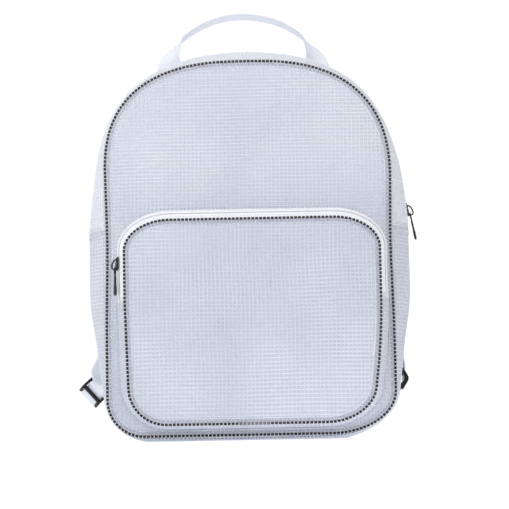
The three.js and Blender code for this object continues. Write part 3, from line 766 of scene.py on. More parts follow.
class Corner(NamedTuple):
    """A lower corner: how far it reaches from the middle, and its radii across and up."""

    reach: float
    across: float
    up: float


def lower_corners(bottom: float, right: Corner, left: Corner) -> Array:
    """The right corner, the bottom and the left corner of an outline, from right to left."""
    first = arc((right.reach - right.across, bottom + right.up), right[1:], 0, -90)
    last = arc((left.across - left.reach, bottom + left.up), left[1:], -90, -180)
    return np.concatenate((first, last))


@dataclass(frozen=True)
class ArchSize:
    """An arched wall, measured to the middle of its piping."""

    bottom: float
    half_width: float = 145.5
    top: float = 386.0
    left_arch: float = 118.0
    right_arch: float = 130.0
    arch_power: float = 2.6
    left: Corner = Corner(145.5, 37.0, 37.0)
    right: Corner = Corner(145.5, 65.0, 42.0)
    seam: float = 215.0
    waist_depth: float = 1.9
    waist_height: float = 200.0
    waist_span: float = 60.0

    def loop(self, upper_steps: int, lower_steps: int) -> Loop:
        """The outline: straight sides, a squared arch and round lower corners, drawn in at the waist."""
        half = self.half_width
        bow = squared(np.linspace(np.pi, 0.0, ARCH_POINTS), self.arch_power)
        rise = np.where(bow[:, 0] < 0, self.left_arch, self.right_arch)
        bow = np.stack((bow[:, 0] * half, self.top - rise * (1 - bow[:, 1])), axis=1)
        upper = np.concatenate(([[-half, self.seam]], bow, [[half, self.seam]]))
        foot = lower_corners(self.bottom, self.right, self.left)
        lower = np.concatenate(([[half, self.seam]], foot, [[-half, self.seam]]))
        return Loop(self.pinched(upper), self.pinched(lower), upper_steps, lower_steps)

    def pinched(self, line: Array) -> Array:
        """A line densely spaced and drawn in by a bell curve of the height."""
        dense = even_points(line, OUTLINE_STEPS)
        bell = np.exp(-(((dense[:, 1] - self.waist_height) / self.waist_span) ** 2))
        dense[:, 0] *= 1 - self.waist_depth * bell / self.half_width
        return dense


@dataclass(frozen=True)
class PocketSize:
    """The front pocket, measured to the middle of its piping."""

    centre: float = 3.0
    half_top: float = 128.0
    bottom: float = 16.8
    top: float = 221.5
    shoulder: Pair = (46.0, 31.0)
    left: Corner = Corner(125.5, 38.0, 38.0)
    right: Corner = Corner(121.8, 50.0, 38.0)
    lean_height: float = 100.0
    seam: float = 140.0

    def loop(self, upper_steps: int, lower_steps: int) -> Loop:
        """The outline: four round corners, and a right side that leans in below by a quadratic curve."""
        across, up = self.shoulder
        height, reach = self.top - up, self.half_top - across
        upper = np.concatenate((
            [[-self.half_top, self.seam]],
            arc((-reach, height), self.shoulder, 180, 90),
            arc((reach, height), self.shoulder, 90, 0),
            [[self.half_top, self.seam]],
        ))
        t = np.linspace(0.0, 1.0, LEAN_POINTS, endpoint=False)[:, None]
        start, knee = np.array([self.half_top, self.seam]), np.array([self.half_top, self.lean_height])
        end = np.array([self.right.reach, self.bottom + self.right.up])
        lean = (1 - t) ** 2 * start + 2 * t * (1 - t) * knee + t**2 * end
        foot = lower_corners(self.bottom, self.right, self.left)
        lower = np.concatenate((lean, foot, [[-self.half_top, self.seam]]))
        shift = np.array([self.centre, 0.0])
        return Loop(upper + shift, lower + shift, upper_steps, lower_steps)


# Stitches, yarns and waves


@dataclass(frozen=True)
class Stitch:
    """One stitch of a row, and the distance from each to the next."""

    length: float
    half_width: float
    half_height: float
    pitch: float

    def row(self, line: Array, normals: Array, closed: bool = False) -> Shape:
        """Stitches along a line, flat on the surface that has the normals."""
        bar = lozenge(self.length, self.half_width, self.half_height)
        return along_line(bar, line, normals, self.pitch, closed)


WALL_STITCH = Stitch(2.3, 0.4, 0.3, 3.9)
BAND_STITCH = Stitch(2.6, 0.38, 0.3, 3.8)
FOOT_STITCH = Stitch(2.6, 0.85, 0.3, 3.8)
TAB_STITCH = Stitch(2.6, 0.36, 0.28, 3.6)
ZIP_STITCH = Stitch(2.4, 0.36, 0.28, 3.6)
BOX_STITCH = Stitch(2.3, 0.4, 0.32, 3.2)
STRAP_STITCH = Stitch(2.4, 0.34, 0.26, 3.4)


@dataclass(frozen=True)
class YarnSize:
    """The reinforcing grid in the film: step is the length between a yarn's points."""

    pitch: float = 4.1
    half_width: float = 0.72
    half_height: float = 0.42
    step: float = 9.0
    margin: float = 2.0

    def laid(self, centres: Array, normals: Array) -> Shape:
        """Yarns of this size along lines in the film."""
        return strands(centres, normals, self.half_width, self.half_height)


YARN = YarnSize()


class Wave(NamedTuple):
    """A sine wave over the XZ plane: the distances across and up for one radian, a phase and a share."""

    across: float
    up: float
    phase: float = 0.0
    share: float = 1.0

    def at(self, x: Array, z: Array) -> Array:
        """The wave's values at places in the plane."""
        return self.share * np.sin(x / self.across + z / self.up + self.phase)


class Swing(NamedTuple):
    """A wave along times a wave across: the distance for one radian and the phase of each."""

    along: float
    along_phase: float
    across: float
    across_phase: float = 0.0

    def at(self, along: Array, across: Array) -> Array:
        """The product's values at distances along and across."""
        wave = np.sin(along / self.along + self.along_phase)
        return wave * np.cos(across / self.across + self.across_phase)


RIPPLES = (Wave(31.0, 74.0, 0.8), Wave(-120.0, 43.0, 2.1), Wave(17.0, -29.0, share=0.6))
SIDE_SWING, SIDE_SHIVER = Swing(52.0, 0.4, 88.0), Wave(61.0, 19.0, share=0.4)
RISE_SWING, RISE_SHIVER = Swing(57.0, 1.2, 71.0, 0.5), Wave(23.0, -47.0, share=0.4)


# Walls and their piping


@dataclass
class Wall:
    """A crowned wall of film inside an outline, with its grid of yarns.

    Its depth is the plane plus the crown times one minus a power of the share of the way from the centre to
    the edge, plus a slow ripple that fades at the edge. Drift is how far the grid wanders in the film.
    Insets count inwards from the piping's middle, and lifts outwards from the middle of the film.
    """

    name: str
    loop: Loop
    plane: float
    crown: float
    centre: Pair
    ripple: float = 0.6
    drift: float = 0.9
    rings: int = 40
    crown_power: float = 2.4
    fade_power: int = 4
    level_pitch: float = 3.77
    # The hem strip, darkened as painted shade beside the piping
    hem_width: float = 3.6
    hem_inset: float = 1.6
    hem_lift: float = 0.5
    hem_columns: int = 5
    # Where the painted highlight ridge runs, and its half sizes
    highlight_inset: float = 5.4
    highlight_lift: float = 0.3
    highlight_half: Pair = (0.85, 0.3)
    stitch_inset: float = 3.3
    stitch_lift: float = 0.75
    look: FilmLook = WALL_LOOK

    def __post_init__(self) -> None:
        """Keep the direction out of the bag, the film's edge, and its reach by angle about the centre."""
        self.fore = Y_AXIS * np.sign(self.crown)
        self.edge = self.loop.inset(EDGE)
        offset = self.edge - np.array(self.centre)
        angle = np.arctan2(offset[:, 1], offset[:, 0])
        order = np.argsort(angle)
        self.angles = angle[order]
        self.reach = np.linalg.norm(offset, axis=1)[order]

    def share(self, x: Array, z: Array) -> Array:
        """The share of the way from the centre to the edge."""
        dx, dz = x - self.centre[0], z - self.centre[1]
        reach = np.interp(np.arctan2(dz, dx), self.angles, self.reach, period=2 * np.pi)
        return np.minimum(np.hypot(dx, dz) / reach, 1.0)

    def depth(self, x: Array, z: Array) -> Array:
        """The Y of the wall's middle."""
        share = self.share(x, z)
        wave = sum(ripple.at(x, z) for ripple in RIPPLES) / sum(ripple.share for ripple in RIPPLES)
        crown = self.crown * (1 - share**self.crown_power)
        return self.plane + crown + self.ripple * wave * (1 - share**self.fade_power)

    def point(self, x: Array, z: Array) -> Array:
        """Points of the wall at places in the XZ plane."""
        return np.stack((x, self.depth(x, z), z), axis=-1)

    def film(self) -> Shape:
        """The film: rings that shrink from the edge to the centre."""
        share = np.linspace(0.0, 1.0, self.rings + 1)[1:, None, None]
        centre = np.array(self.centre)
        flat = centre + (self.edge - centre) * share
        points = self.point(flat[..., 0], flat[..., 1]).reshape(-1, 3)
        middle = self.point(centre[:1], centre[1:])
        count = len(self.edge)
        around = np.arange(count)
        fan = np.stack((np.full(count, len(points)), around, (around + 1) % count), axis=1)
        faces = grid_faces(self.rings, count, False, True)
        turn = -1 if self.crown > 0 else 1
        points = np.concatenate((points, middle))
        return Shape(points, [faces[:, ::turn], fan[:, ::turn]], points[:, [2, 0]])

    def drifted(self, x: Array, z: Array) -> Array:
        """Points of the grid, which wanders a little in the film's plane away from the edge."""
        fade = self.drift * (1 - self.share(x, z) ** self.fade_power)
        sideways = SIDE_SWING.at(z, x) + SIDE_SHIVER.at(x, z)
        upwards = RISE_SWING.at(x, z) + RISE_SHIVER.at(x, z)
        return self.point(x + fade * sideways, z + fade * upwards)

    def yarn_ends(self, axis: int, pitch: float) -> tuple[Array, Array, Array]:
        """Where the yarns at even marks along an axis start and end on the outline.

        Args:
            axis: 0 for upright yarns with marks along X, 1 for level yarns with marks along Z.
            pitch: the distance between marks, counted both ways from the centre.

        Returns:
            The marks, and the starts and ends along the other axis, interpolated on the edge.
        """
        other = 1 - axis
        low = self.edge[:, axis].min() + YARN.margin
        high = self.edge[:, axis].max() - YARN.margin
        middle = self.centre[axis]
        marks = np.arange(middle - pitch * math.floor((middle - low) / pitch), high, pitch)
        ends = []
        for sign in (-1, 1):
            half = self.edge[(self.edge[:, other] - self.centre[other]) * sign > 0]
            half = half[np.argsort(half[:, axis])]
            ends.append(np.interp(marks, half[:, axis], half[:, other]))
        return marks, ends[0], ends[1]

    def yarns(self) -> list[Shape]:
        """The upright and the level yarns."""
        shapes = []
        for axis, pitch in ((0, YARN.pitch), (1, self.level_pitch)):
            marks, starts, ends = self.yarn_ends(axis, pitch)
            share = np.linspace(0.0, 1.0, int(np.ptp(self.edge[:, 1 - axis]) / YARN.step))
            run = starts[:, None] + (ends - starts)[:, None] * share
            fixed = np.broadcast_to(marks[:, None], run.shape)
            centres = self.drifted(fixed, run) if axis == 0 else self.drifted(run, fixed)
            shapes.append(YARN.laid(centres, everywhere(self.fore, centres)))
        return shapes

    def ring(self, inset: float, lift: float) -> Array:
        """A closed line round the wall, in from the piping's middle and lifted off the outside."""
        line = self.loop.inset(inset)
        seam = self.point(line[:, 0], line[:, 1]) + self.fore * lift
        return np.concatenate((seam, seam[:1]))

    def highlight_ridge(self) -> Shape:
        """A painted highlight on the film's rounded fold beside the hem: a bright flat ellipse carried round
        the wall, shown in patches.
        """
        path = self.ring(self.highlight_inset, self.highlight_lift)[:-1]
        section = superellipse(*self.highlight_half, ROUND, 8)
        return carried(path, standing(self.loop.out, 0.0), everywhere(self.fore, path), section, True)

    def dress(self) -> None:
        """Place the film, its yarns, a painted highlight ridge and the hem, darkened as painted shade, round
        its edge and the stitches by the piping.
        """
        film = self.film()
        sheet = place(self.name, film, self.look.film, Slot.FILM, stands_for=[self.name])
        upright, level = self.yarns()
        seam = self.ring(self.stitch_inset, self.stitch_lift)
        insets = np.linspace(self.hem_inset, self.hem_inset + self.hem_width, self.hem_columns)
        rings = np.stack([self.ring(inset, self.hem_lift) for inset in insets], axis=1)
        trim = (
            ("upright_yarns", upright, self.look.along),
            ("level_yarns", level, self.look.across),
            # The bright ridge is a painted highlight where the film is folded
            ("fold", self.highlight_ridge(), FOLD_HIGHLIGHT),
            ("stitches", WALL_STITCH.row(seam, everywhere(self.fore, seam), True), GREY_THREAD),
            # The hem, darkened as painted shade beside the piping
            ("hem", grid_shape(rings, self.crown < 0), HEM_SHADE_FILM),
        )
        pieces = [place(f"{self.name}_{word}", shape, finish, Slot.FILM) for word, shape, finish in trim]


@dataclass
class Piping:
    """Banded piping round an outline: a pale core with black beads in a clear sleeve."""

    name: str
    loop: Loop
    plane: float
    radius: float = 2.0
    core: float = 0.7
    bead: float = 1.3
    bead_length: float = 3.6
    bead_bluntness: float = 6.0
    pitch: float = 3.9
    wrap_radius: float = 2.3
    wrap_points: int = 13

    def ring(self, radius: float, sides: int) -> Shape:
        """A closed tube round the outline."""
        path = standing(self.loop.points, self.plane)
        section = superellipse(radius, radius, ROUND, sides)
        return carried(path, standing(self.loop.out, 0.0), everywhere(Y_AXIS, path), section, True)

    def dress(self) -> None:
        """Place the core, the beads and the sleeve."""
        place(self.name + "_core", self.ring(self.core, 8), PIPING_CORE, Slot.PIPING)
        path = standing(np.concatenate((self.loop.points, self.loop.points[:1])), self.plane)
        bead = lozenge(self.bead_length, self.bead, self.bead, 10, 7, self.bead_bluntness)
        beads = along_line(bead, path, everywhere(Y_AXIS, path), self.pitch, True)
        place(self.name + "_beads", beads, PIPING_BEAD, Slot.PIPING)
        place(self.name, self.ring(self.radius, 12), PIPING_SLEEVE, Slot.PIPING, stands_for=[self.name])

    def dress_wrap(self, left: float, right: float) -> None:
        """Place a short pale sleeve over the joint of the piping at the bottom, between two values of X."""
        x = np.linspace(left, right, self.wrap_points)
        flat = np.stack((x, np.full_like(x, self.loop.points[:, 1].min())), axis=1)
        path = standing(flat, self.plane)
        section = superellipse(self.wrap_radius, self.wrap_radius, ROUND, 14)
        sleeve = carried(path, everywhere(Z_AXIS, path), everywhere(Y_AXIS, path), section)
        place(self.name + "_wrap", sleeve, PIPING_WRAP, Slot.PIPING)


# The bands round the bag and the pocket

# The middle of a band's width, the height of a row of stitches, and a tab's points to either side of a seam
MIDDLE = 0.5
ROW_LIFT = 0.2
TAB_REACH = 3

# Points of the outline from one to the next along a long yarn and between cross yarns, and a yarn's columns
LONG_STEP = 3
CROSS_STEP = 2
CROSS_COLUMNS = 12


@dataclass
class Gusset:
    """The swelling band between the two walls, with the zip round its upper part.

    A point lies between the front and back outlines and is pushed out along the front outline's normal by
    the swell at that height times one minus a power of the distance from the middle of the band. Belly
    holds that swell at shares of the way from the bottom to the top. The ripple is the product of two sines:
    swing holds the points of the outline for one radian and a phase, and slant the points for one radian and
    the radians across.
    """

    front: Loop
    back: Loop
    belly: tuple[Pair, ...] = (
        (0.0, 9.0), (0.1, 8.0), (0.16, 5.0), (0.21, 3.5), (0.25, 5.0), (0.28, 8.0), (0.32, 11.0),
        (0.37, 14.5), (0.43, 20.5), (0.5, 22.5), (0.57, 21.5), (0.64, 15.5), (0.7, 10.5), (0.76, 9.0),
        (0.82, 11.0), (0.9, 14.5), (1.0, 17.5),
    )
    belly_steps: int = 20
    belly_power: float = 2.2
    ripple: float = 0.5
    ripple_swing: Pair = (23.0, 0.7)
    ripple_slant: Pair = (31.0, 9.0)
    floor_gap: float = 0.1
    zip_width: float = 30.0
    overlap: float = 3.0
    tape_raised: float = -0.9
    strip_raised: float = -0.2
    # The seam allowance beside the pipings, darkened as painted shade
    seam_width: float = 3.0
    seam_lift: float = 0.3
    seam_columns: int = 4
    stitch_inset: float = 5.5
    foot_height: float = 12.0
    foot_inset: float = 8.8
    tab_margin: float = 0.06
    tab_raised: float = 0.1
    tab_stitch_raised: float = 0.3
    probe: float = 0.01
    film_columns: int = 25
    strip_columns: int = 11
    tape_columns: int = 17

    def __post_init__(self) -> None:
        """Work out the swell at each point of the outline from the table's smooth line."""
        half_length = self.front.length / 2
        curve = smooth_line(np.array(self.belly) * np.array([half_length, 1.0]), self.belly_steps)
        self.swell = np.interp(self.front.height_share * half_length, curve[:, 0], curve[:, 1])
        self.depth = BACK_PLANE - FRONT_PLANE

    @property
    def loop(self) -> Loop:
        """The outline that the zip follows."""
        return self.front

    def points(self, index: Array, across: Array, raised: float = -FILM / 2) -> Array:
        """Points of the band, rows along the outline by columns across it.

        Args:
            index: numbers of the outline's points.
            across: shares of the way from the front piping to the back.
            raised: height above the band's outside.

        Returns:
            Rows by columns by 3.
        """
        index = index % len(self.front.points)
        a = across[None, :, None]
        flat = self.front.points[index][:, None] * (1 - a) + self.back.points[index][:, None] * a
        middle = 1 - np.abs(2 * across - 1) ** self.belly_power
        spacing, phase = self.ripple_swing
        slant, turns = self.ripple_slant
        wave = np.sin(index / spacing + phase)[:, None] * np.sin(across * turns + index[:, None] / slant)
        reach = self.swell[index][:, None] * middle + raised + self.ripple * wave * middle
        flat = flat + self.front.out[index][:, None] * reach[..., None]
        y = np.broadcast_to(FRONT_PLANE + self.depth * across, reach.shape)
        z = np.maximum(flat[..., 1], max(-raised, self.floor_gap))
        return np.stack((flat[..., 0], y, z), axis=2)

    def film_band(self, name: str, index: Array, across: Array, raised: float, look: FilmLook) -> None:
        """Place a stretch of film with its yarns, and a dark seam allowance, partly painted shade, where it
        meets a piping.
        """
        width = self.seam_width / self.depth
        trim = []
        for side, end, inwards in (("front", across[0], width), ("back", across[-1], -width)):
            if min(end, 1 - end) <= width:
                columns = np.linspace(end, end + inwards, self.seam_columns)
                seam = grid_shape(self.points(index, columns, raised + self.seam_lift), inwards > 0)
                trim.append(place(f"{name}_seam_{side}", seam, SEAM_SHADE_FILM, Slot.FILM))
        count = int(np.ptp(across) * self.depth / YARN.pitch)
        dress_band(self, name, index, across, count, raised, look, trim)

    def dress(self) -> None:
        """Place the lower film, the two strips beside the zip, the zip, the stitches and the end tabs."""
        edge = EDGE / self.depth
        half_zip = self.zip_width / 2 / self.depth
        over = self.overlap / self.depth
        upper, lower = self.front.upper, self.front.lower
        across = np.linspace(edge, 1 - edge, self.film_columns)
        self.film_band("lower_gusset", lower, across, -FILM / 2, BAND_LOOK)
        strips = (
            ("zip_gusset_front", edge, MIDDLE - half_zip + over),
            ("zip_gusset_back", MIDDLE + half_zip - over, 1 - edge),
        )
        for name, start, end in strips:
            across = np.linspace(start, end, self.strip_columns)
            self.film_band(name, upper, across, self.strip_raised, STRIP_LOOK)
        across = np.linspace(MIDDLE - half_zip, MIDDLE + half_zip, self.tape_columns)
        dress_zip(self, "main_zip", across, self.tape_raised)
        self.dress_stitches((MIDDLE - half_zip + over / 2, MIDDLE + half_zip - over / 2))
        self.dress_tabs()

    def dress_stitches(self, beside_zip: Pair) -> None:
        """Place white stitches beside the zip and the pipings, and dark ones along the front bottom seam."""
        upper, lower = self.front.upper, self.front.lower
        front = self.stitch_inset / self.depth
        back = 1 - front
        low = np.flatnonzero(self.front.points[lower % len(self.front.points), 1] < self.foot_height)
        sides = (lower[: low[0] + 1], lower[low[-1] :])
        runs = [(upper, across) for across in (*beside_zip, front, back)]
        runs += [(side, front) for side in sides]
        runs.append((lower, back))
        rows = [stitch_row(self, index, across, BAND_STITCH) for index, across in runs]
        place("gusset_stitches", Shape.joined(rows), WHITE_THREAD, Slot.FILM)
        foot = stitch_row(self, lower[low], self.foot_inset / self.depth, FOOT_STITCH)
        place("gusset_foot_stitches", foot, DARK_THREAD, Slot.FILM)

    def dress_tabs(self) -> None:
        """Place the tabs over the two cross seams where the zip ends, each with two rows of stitches."""
        across = np.linspace(self.tab_margin, 1 - self.tab_margin, self.film_columns)
        for side, seam in self.front.seams():
            index = np.arange(seam - TAB_REACH, seam + TAB_REACH + 1)
            tab = grid_shape(self.points(index, across, self.tab_raised), True)
            sheet = place(f"zip_end_tab_{side.word}", tab, SEAM_TAPE, Slot.ZIP_TAPE)
            grid = self.points(index, across, self.tab_stitch_raised)
            normals = -grid_normals(grid)
            rows = [TAB_STITCH.row(grid[row], normals[row]) for row in (1, -2)]
            name = f"zip_end_stitches_{side.word}"
            stitches = place(name, Shape.joined(rows), WHITE_THREAD, Slot.ZIP_TAPE)


@dataclass
class PocketBand:
    """The pocket's own band from its piping back to the front wall, with the zip round its upper part.

    A point is pushed out from the pocket's outline by a flare that grows towards the front wall, plus a
    half sine swell.
    """

    loop: Loop
    wall: Wall
    flare_top: float = 12.5
    flare_side: float = 9.5
    flare_bottom: float = 4.0
    swell: float = 2.0
    edge: float = 1.3
    long_yarns: int = 6
    stitch_rows: tuple[float, ...] = (0.2, 0.8, 0.9)
    tab_ends: Pair = (0.05, 0.97)
    tab_raised: float = 0.35
    probe: float = 0.02
    film_columns: int = 9
    tape_columns: int = 13

    def points(self, index: Array, across: Array, raised: float = -FILM / 2) -> Array:
        """Points of the band, rows along the outline by columns from the piping to the front wall."""
        index = index % len(self.loop.points)
        out = self.loop.out[index]
        end = np.where(out[:, 1] > 0, self.flare_top, self.flare_bottom)
        flare = self.flare_side + (end - self.flare_side) * np.abs(out[:, 1])
        foot = self.loop.points[index] + out * flare[:, None]
        base = self.wall.depth(foot[:, 0], foot[:, 1]) - FILM / 2 - GAP / 2
        start = POCKET_PLANE + self.edge
        y = start + (base - start)[:, None] * across
        reach = flare[:, None] * across + self.swell * np.sin(np.pi * across) + raised
        flat = self.loop.points[index][:, None] + out[:, None] * reach[..., None]
        return np.stack((flat[..., 0], y, flat[..., 1]), axis=2)

    def dress(self) -> None:
        """Place the lower film with its yarns, the zip's tape and coil, stitches and end tabs."""
        upper, lower = self.loop.upper, self.loop.lower
        across = np.linspace(0.0, 1.0, self.film_columns)
        dress_band(self, "pocket_lower_gusset", lower, across, self.long_yarns, -FILM / 2, BAND_LOOK)
        dress_zip(self, "pocket_zip", np.linspace(0.0, 1.0, self.tape_columns), -FILM / 2)
        rows = [stitch_row(self, upper, mark, ZIP_STITCH) for mark in self.stitch_rows]
        place("pocket_zip_stitches", Shape.joined(rows), WHITE_THREAD, Slot.ZIP_TAPE)
        across = np.linspace(*self.tab_ends, self.film_columns)
        for side, seam in self.loop.seams():
            index = np.arange(seam - TAB_REACH, seam + TAB_REACH + 1)
            tab = grid_shape(self.points(index, across, self.tab_raised), True)
            piece = place(f"pocket_zip_tab_{side.word}", tab, SEAM_TAPE, Slot.ZIP_TAPE)


Band = Gusset | PocketBand


def dress_band(
    band: Band,
    name: str,
    index: Array,
    across: Array,
    count: int,
    raised: float,
    look: FilmLook,
    trim: Sequence[bpy.types.Object] = (),
) -> None:
    """Place a stretch of a band's film with yarns along and across it.

    Args:
        band: the band that the stretch belongs to.
        name: the solid that it shows in place of.
        index: numbers of the outline's points.
        across: shares of the way across the band.
        count: number of yarns along the band.
        raised: height above the band's outside.
        look: finishes of the film and its yarns.
        trim: pieces that belong to the film.
    """
    film = grid_shape(band.points(index, across, raised), True)
    sheet = place(name, film, look.film, Slot.FILM, stands_for=[name])
    lines = across[0] + np.ptp(across) * (np.arange(count) + 0.5) / count
    along = band.points(index[::LONG_STEP], lines, raised)
    columns = across[:: max(len(across) // CROSS_COLUMNS, 1)]
    over = band.points(index[1::CROSS_STEP], columns, raised)
    lengthwise = YARN.laid(along.transpose(1, 0, 2), grid_normals(along).transpose(1, 0, 2))
    crosswise = YARN.laid(over, grid_normals(over))
    pieces = [
        place(name + "_long_yarns", lengthwise, look.along, Slot.FILM),
        place(name + "_cross_yarns", crosswise, look.across, Slot.FILM),
        *trim,
    ]


def stitch_row(band: Band, index: Array, across: float, stitch: Stitch) -> Shape:
    """A row of stitches along a band, whose normals come from points a probe to either side of it."""
    line = band.points(index, across + np.array([-band.probe, 0.0, band.probe]), ROW_LIFT)
    return stitch.row(line[:, 1], -grid_normals(line)[:, 1])


@dataclass(frozen=True)
class CoilSize:
    """A zip's coil: two rows of short bars across the tape, one to either side of its middle."""

    length: float = 1.4
    half_width: float = 1.9
    half_height: float = 0.35
    aside: float = 0.9
    raised: float = 0.05
    pitch: float = 1.5
    probe: float = 0.01
    fineness: int = 4

    def shape(self, band: Band) -> Shape:
        """The coil of a band's zip, with the second row a little further along than the first."""
        index = band.loop.upper
        line = band.points(index, MIDDLE + np.array([-self.probe, 0.0, self.probe]), self.raised)
        normals = -grid_normals(line)[:, 1]
        aside = self.aside * unit(line[:, 2] - line[:, 0])
        bar = lozenge(self.length, self.half_width, self.half_height)
        rows = []
        for sign, start in ((-1, 0), (1, 1)):
            table = np.concatenate((line[:, 1] + sign * aside, normals), axis=1)
            walked = even_points(table, self.fineness * len(index))[start:]
            rows.append(along_line(bar, walked[:, :3], walked[:, 3:], self.pitch))
        return Shape.joined(rows)


def dress_zip(band: Band, name: str, across: Array, raised: float) -> None:
    """Place the tape of a band's zip, between shares of the way across, and its coil."""
    tape = grid_shape(band.points(band.loop.upper, across, raised), True)
    sheet = place(name, tape, ZIP_TAPE, Slot.ZIP_TAPE, stands_for=[name])
    coil = place(name + "_coil", CoilSize().shape(band), ZIP_COIL, Slot.ZIP_TAPE)


# Sliders and pulls


@dataclass(frozen=True)
class SliderSize:
    """A zip slider and its pull, in a frame with X out of the tape, Y across the zip and Z up along it.

    Bow is the line of the bow's middle: heights above the roof and places along the zip. Heights of the
    pull count from the pin that it hangs on, which stands above the roof by the pin's height.
    """

    length: float = 13.5
    half_width: float = 4.4
    wall: float = 1.2
    roof_under: float = 1.45
    roof: float = 1.0
    roof_power: float = 5.0
    roof_cut: float = -0.5
    end_power: float = 8.0
    end_width: float = 0.55
    narrowing: float = 0.08
    thickness_share: float = 0.95
    thinning: float = 0.45
    thinnest: float = 0.45
    bow: tuple[Pair, ...] = (
        (-0.5, 4.4), (1.5, 3.5), (3.1, 1.3), (4.1, -1.6),
        (4.2, -4.0), (3.3, -5.5), (1.6, -5.9), (-0.5, -5.5),
    )
    bow_half: Pair = (1.0, 0.75)
    pin_height: float = 1.0
    pin_up: float = -4.0
    ring_half: Pair = (2.15, 3.7)
    ring_power: float = 2.6
    ring_middle: float = -3.6
    wire: float = 0.72
    tab_top: float = -6.9
    tab_end: float = -28.5
    tab_half_width: float = 1.5
    tab_widening: float = 1.2
    tab_power: float = 0.7
    tab_end_power: float = 14.0
    tab_end_least: float = 0.02
    tab_half_thickness: float = 0.95
    neck: Pair = (-17.5, -18.2)
    grip_start: float = -18.6
    grip_step: float = 0.35
    grip_wider: float = 0.5
    grip_thicker: float = 0.25

    @property
    def roof_top(self) -> float:
        """Height of the roof above the tape."""
        return self.roof_under + self.roof

    def slider(self) -> Shape:
        """A channel over the coil and a bow over its roof, which is highest low down."""
        out, along = np.array(self.bow).T
        bow = smooth_line(np.stack((self.roof_top + out, np.zeros(len(out)), along), axis=1), 5)
        across = everywhere(Y_AXIS, bow)
        up = np.cross(across, unit(np.gradient(bow, axis=0)))
        bridge = carried(bow, across, up, superellipse(*self.bow_half, OVAL, 12))
        return Shape.joined((self.channel(), bridge))

    def channel(self) -> Shape:
        """A rounded roof over a notch for the coil, wider and thinner towards its upper end."""
        outer = superellipse(1.0, 1.0, self.roof_power, 28)
        arch = outer[outer[:, 1] > self.roof_cut]
        height = (self.roof_top - GAP) * (arch[:, 1] - self.roof_cut) / (1 - self.roof_cut)
        roof = np.stack((GAP + height, self.half_width * arch[:, 0]), axis=1)
        inner, under = self.half_width - self.wall, self.roof_under
        notch = np.array([[GAP, -inner], [under, -inner], [under, inner], [GAP, inner]])
        profile = np.concatenate((roof, notch))
        t = np.linspace(-1.0, 1.0, 15)
        width = (1 - np.abs(t) ** self.end_power) ** 0.25 * (1 - self.narrowing + self.narrowing * t)
        width[[0, -1]] = self.end_width
        thin = np.clip(self.thickness_share - self.thinning * t, self.thinnest, 1.0)[:, None]
        profiles = np.stack((GAP + (profile[:, 0] - GAP) * thin, profile[:, 1] * width[:, None]), axis=2)
        path = Z_AXIS * (t * self.length / 2)[:, None]
        return carried(path, everywhere(X_AXIS, path), everywhere(Y_AXIS, path), profiles)

    def pull(self) -> Shape:
        """A ring through the bow and a tapered tab that ends in a thicker grip."""
        flat = superellipse(*self.ring_half, self.ring_power, 32)
        ring = np.stack((np.zeros(len(flat)), flat[:, 0], flat[:, 1] + self.ring_middle), axis=1)
        tangent = unit(np.roll(ring, -1, axis=0) - np.roll(ring, 1, axis=0))
        out = everywhere(X_AXIS, ring)
        section = superellipse(self.wire, self.wire, ROUND, 10)
        loop = carried(ring, out, np.cross(out, tangent), section, True)
        return Shape.joined((loop, self.tab()))

    def tab(self) -> Shape:
        """The pull's tab, which widens by a power of the way down and steps out at the grip."""
        top, end = self.tab_top, self.tab_end
        z = np.concatenate((np.linspace(top, self.neck[0], 10), np.linspace(self.neck[1], end, 12)))
        share = (z - top) / (end - top)
        grip = 1 / (1 + np.exp((z - self.grip_start) / self.grip_step))
        ends = np.sqrt(np.clip(1 - np.abs(2 * share - 1) ** self.tab_end_power, self.tab_end_least, 1.0))
        widened = self.tab_half_width + self.tab_widening * np.abs(share) ** self.tab_power
        half_y = (widened + self.grip_wider * grip) * ends
        half_x = (self.tab_half_thickness + self.grip_thicker * grip) * ends
        profile = superellipse(1.0, 1.0, SQUARISH, 20) * np.stack((half_x, half_y), axis=1)[:, None]
        path = Z_AXIS * z[:, None]
        return carried(path, everywhere(X_AXIS, path), everywhere(Y_AXIS, path), profile)


@dataclass
class ZipRunner:
    """A slider on its zip and the hinged pull that hangs from it, lifted off the zip by some degrees.

    Look ahead is the number of points along the zip over which its direction is found.
    """

    name: str
    joint: str
    body: Body
    band: Band
    lift: float = 0.0
    look_ahead: int = 11
    size: SliderSize = SliderSize()

    def axes(self) -> tuple[Array, Array]:
        """The pin's place and the slider's X, Y and Z directions, from the hinge and the zip's line."""
        hinge = next(joint for joint in frame["joints"] if joint["name"] == self.joint)
        pin = np.array(hinge["pos_m"]) / MM
        middle = self.band.points(self.band.loop.upper, np.array([MIDDLE]), 0.0)[:, 0]
        nearest = int(np.argmin(np.linalg.norm(middle - pin, axis=1)))
        ahead = self.look_ahead if middle[nearest + 1, 2] > middle[nearest, 2] else -self.look_ahead
        up = unit(middle[nearest + ahead] - middle[nearest])
        y = -unit(np.array(hinge["axis"]))
        x = unit(np.cross(y, up))
        return pin, np.stack((x, y, np.cross(x, y)))

    def dress(self) -> None:
        """Place the slider on the bag and the pull on its own body."""
        pin, axes = self.axes()
        out, across, up = axes
        seat = pin - out * (self.size.roof_top + self.size.pin_height) - up * self.size.pin_up
        name = self.name + "_slider"
        slider = repeated(self.size.slider(), seat[None], axes[None])
        place(name, slider, BLACK_METAL, Slot.ZIP_METAL, stands_for=[name])
        turn = math.radians(self.lift)
        out = out * math.cos(turn) + up * math.sin(turn)
        hung = np.stack((out, across, np.cross(out, across)))
        name = self.name + "_pull"
        pull = repeated(self.size.pull(), pin[None], hung[None])
        place(name, pull, BLACK_METAL, Slot.ZIP_METAL, self.body, [name])


# Straps, webbing and hardware


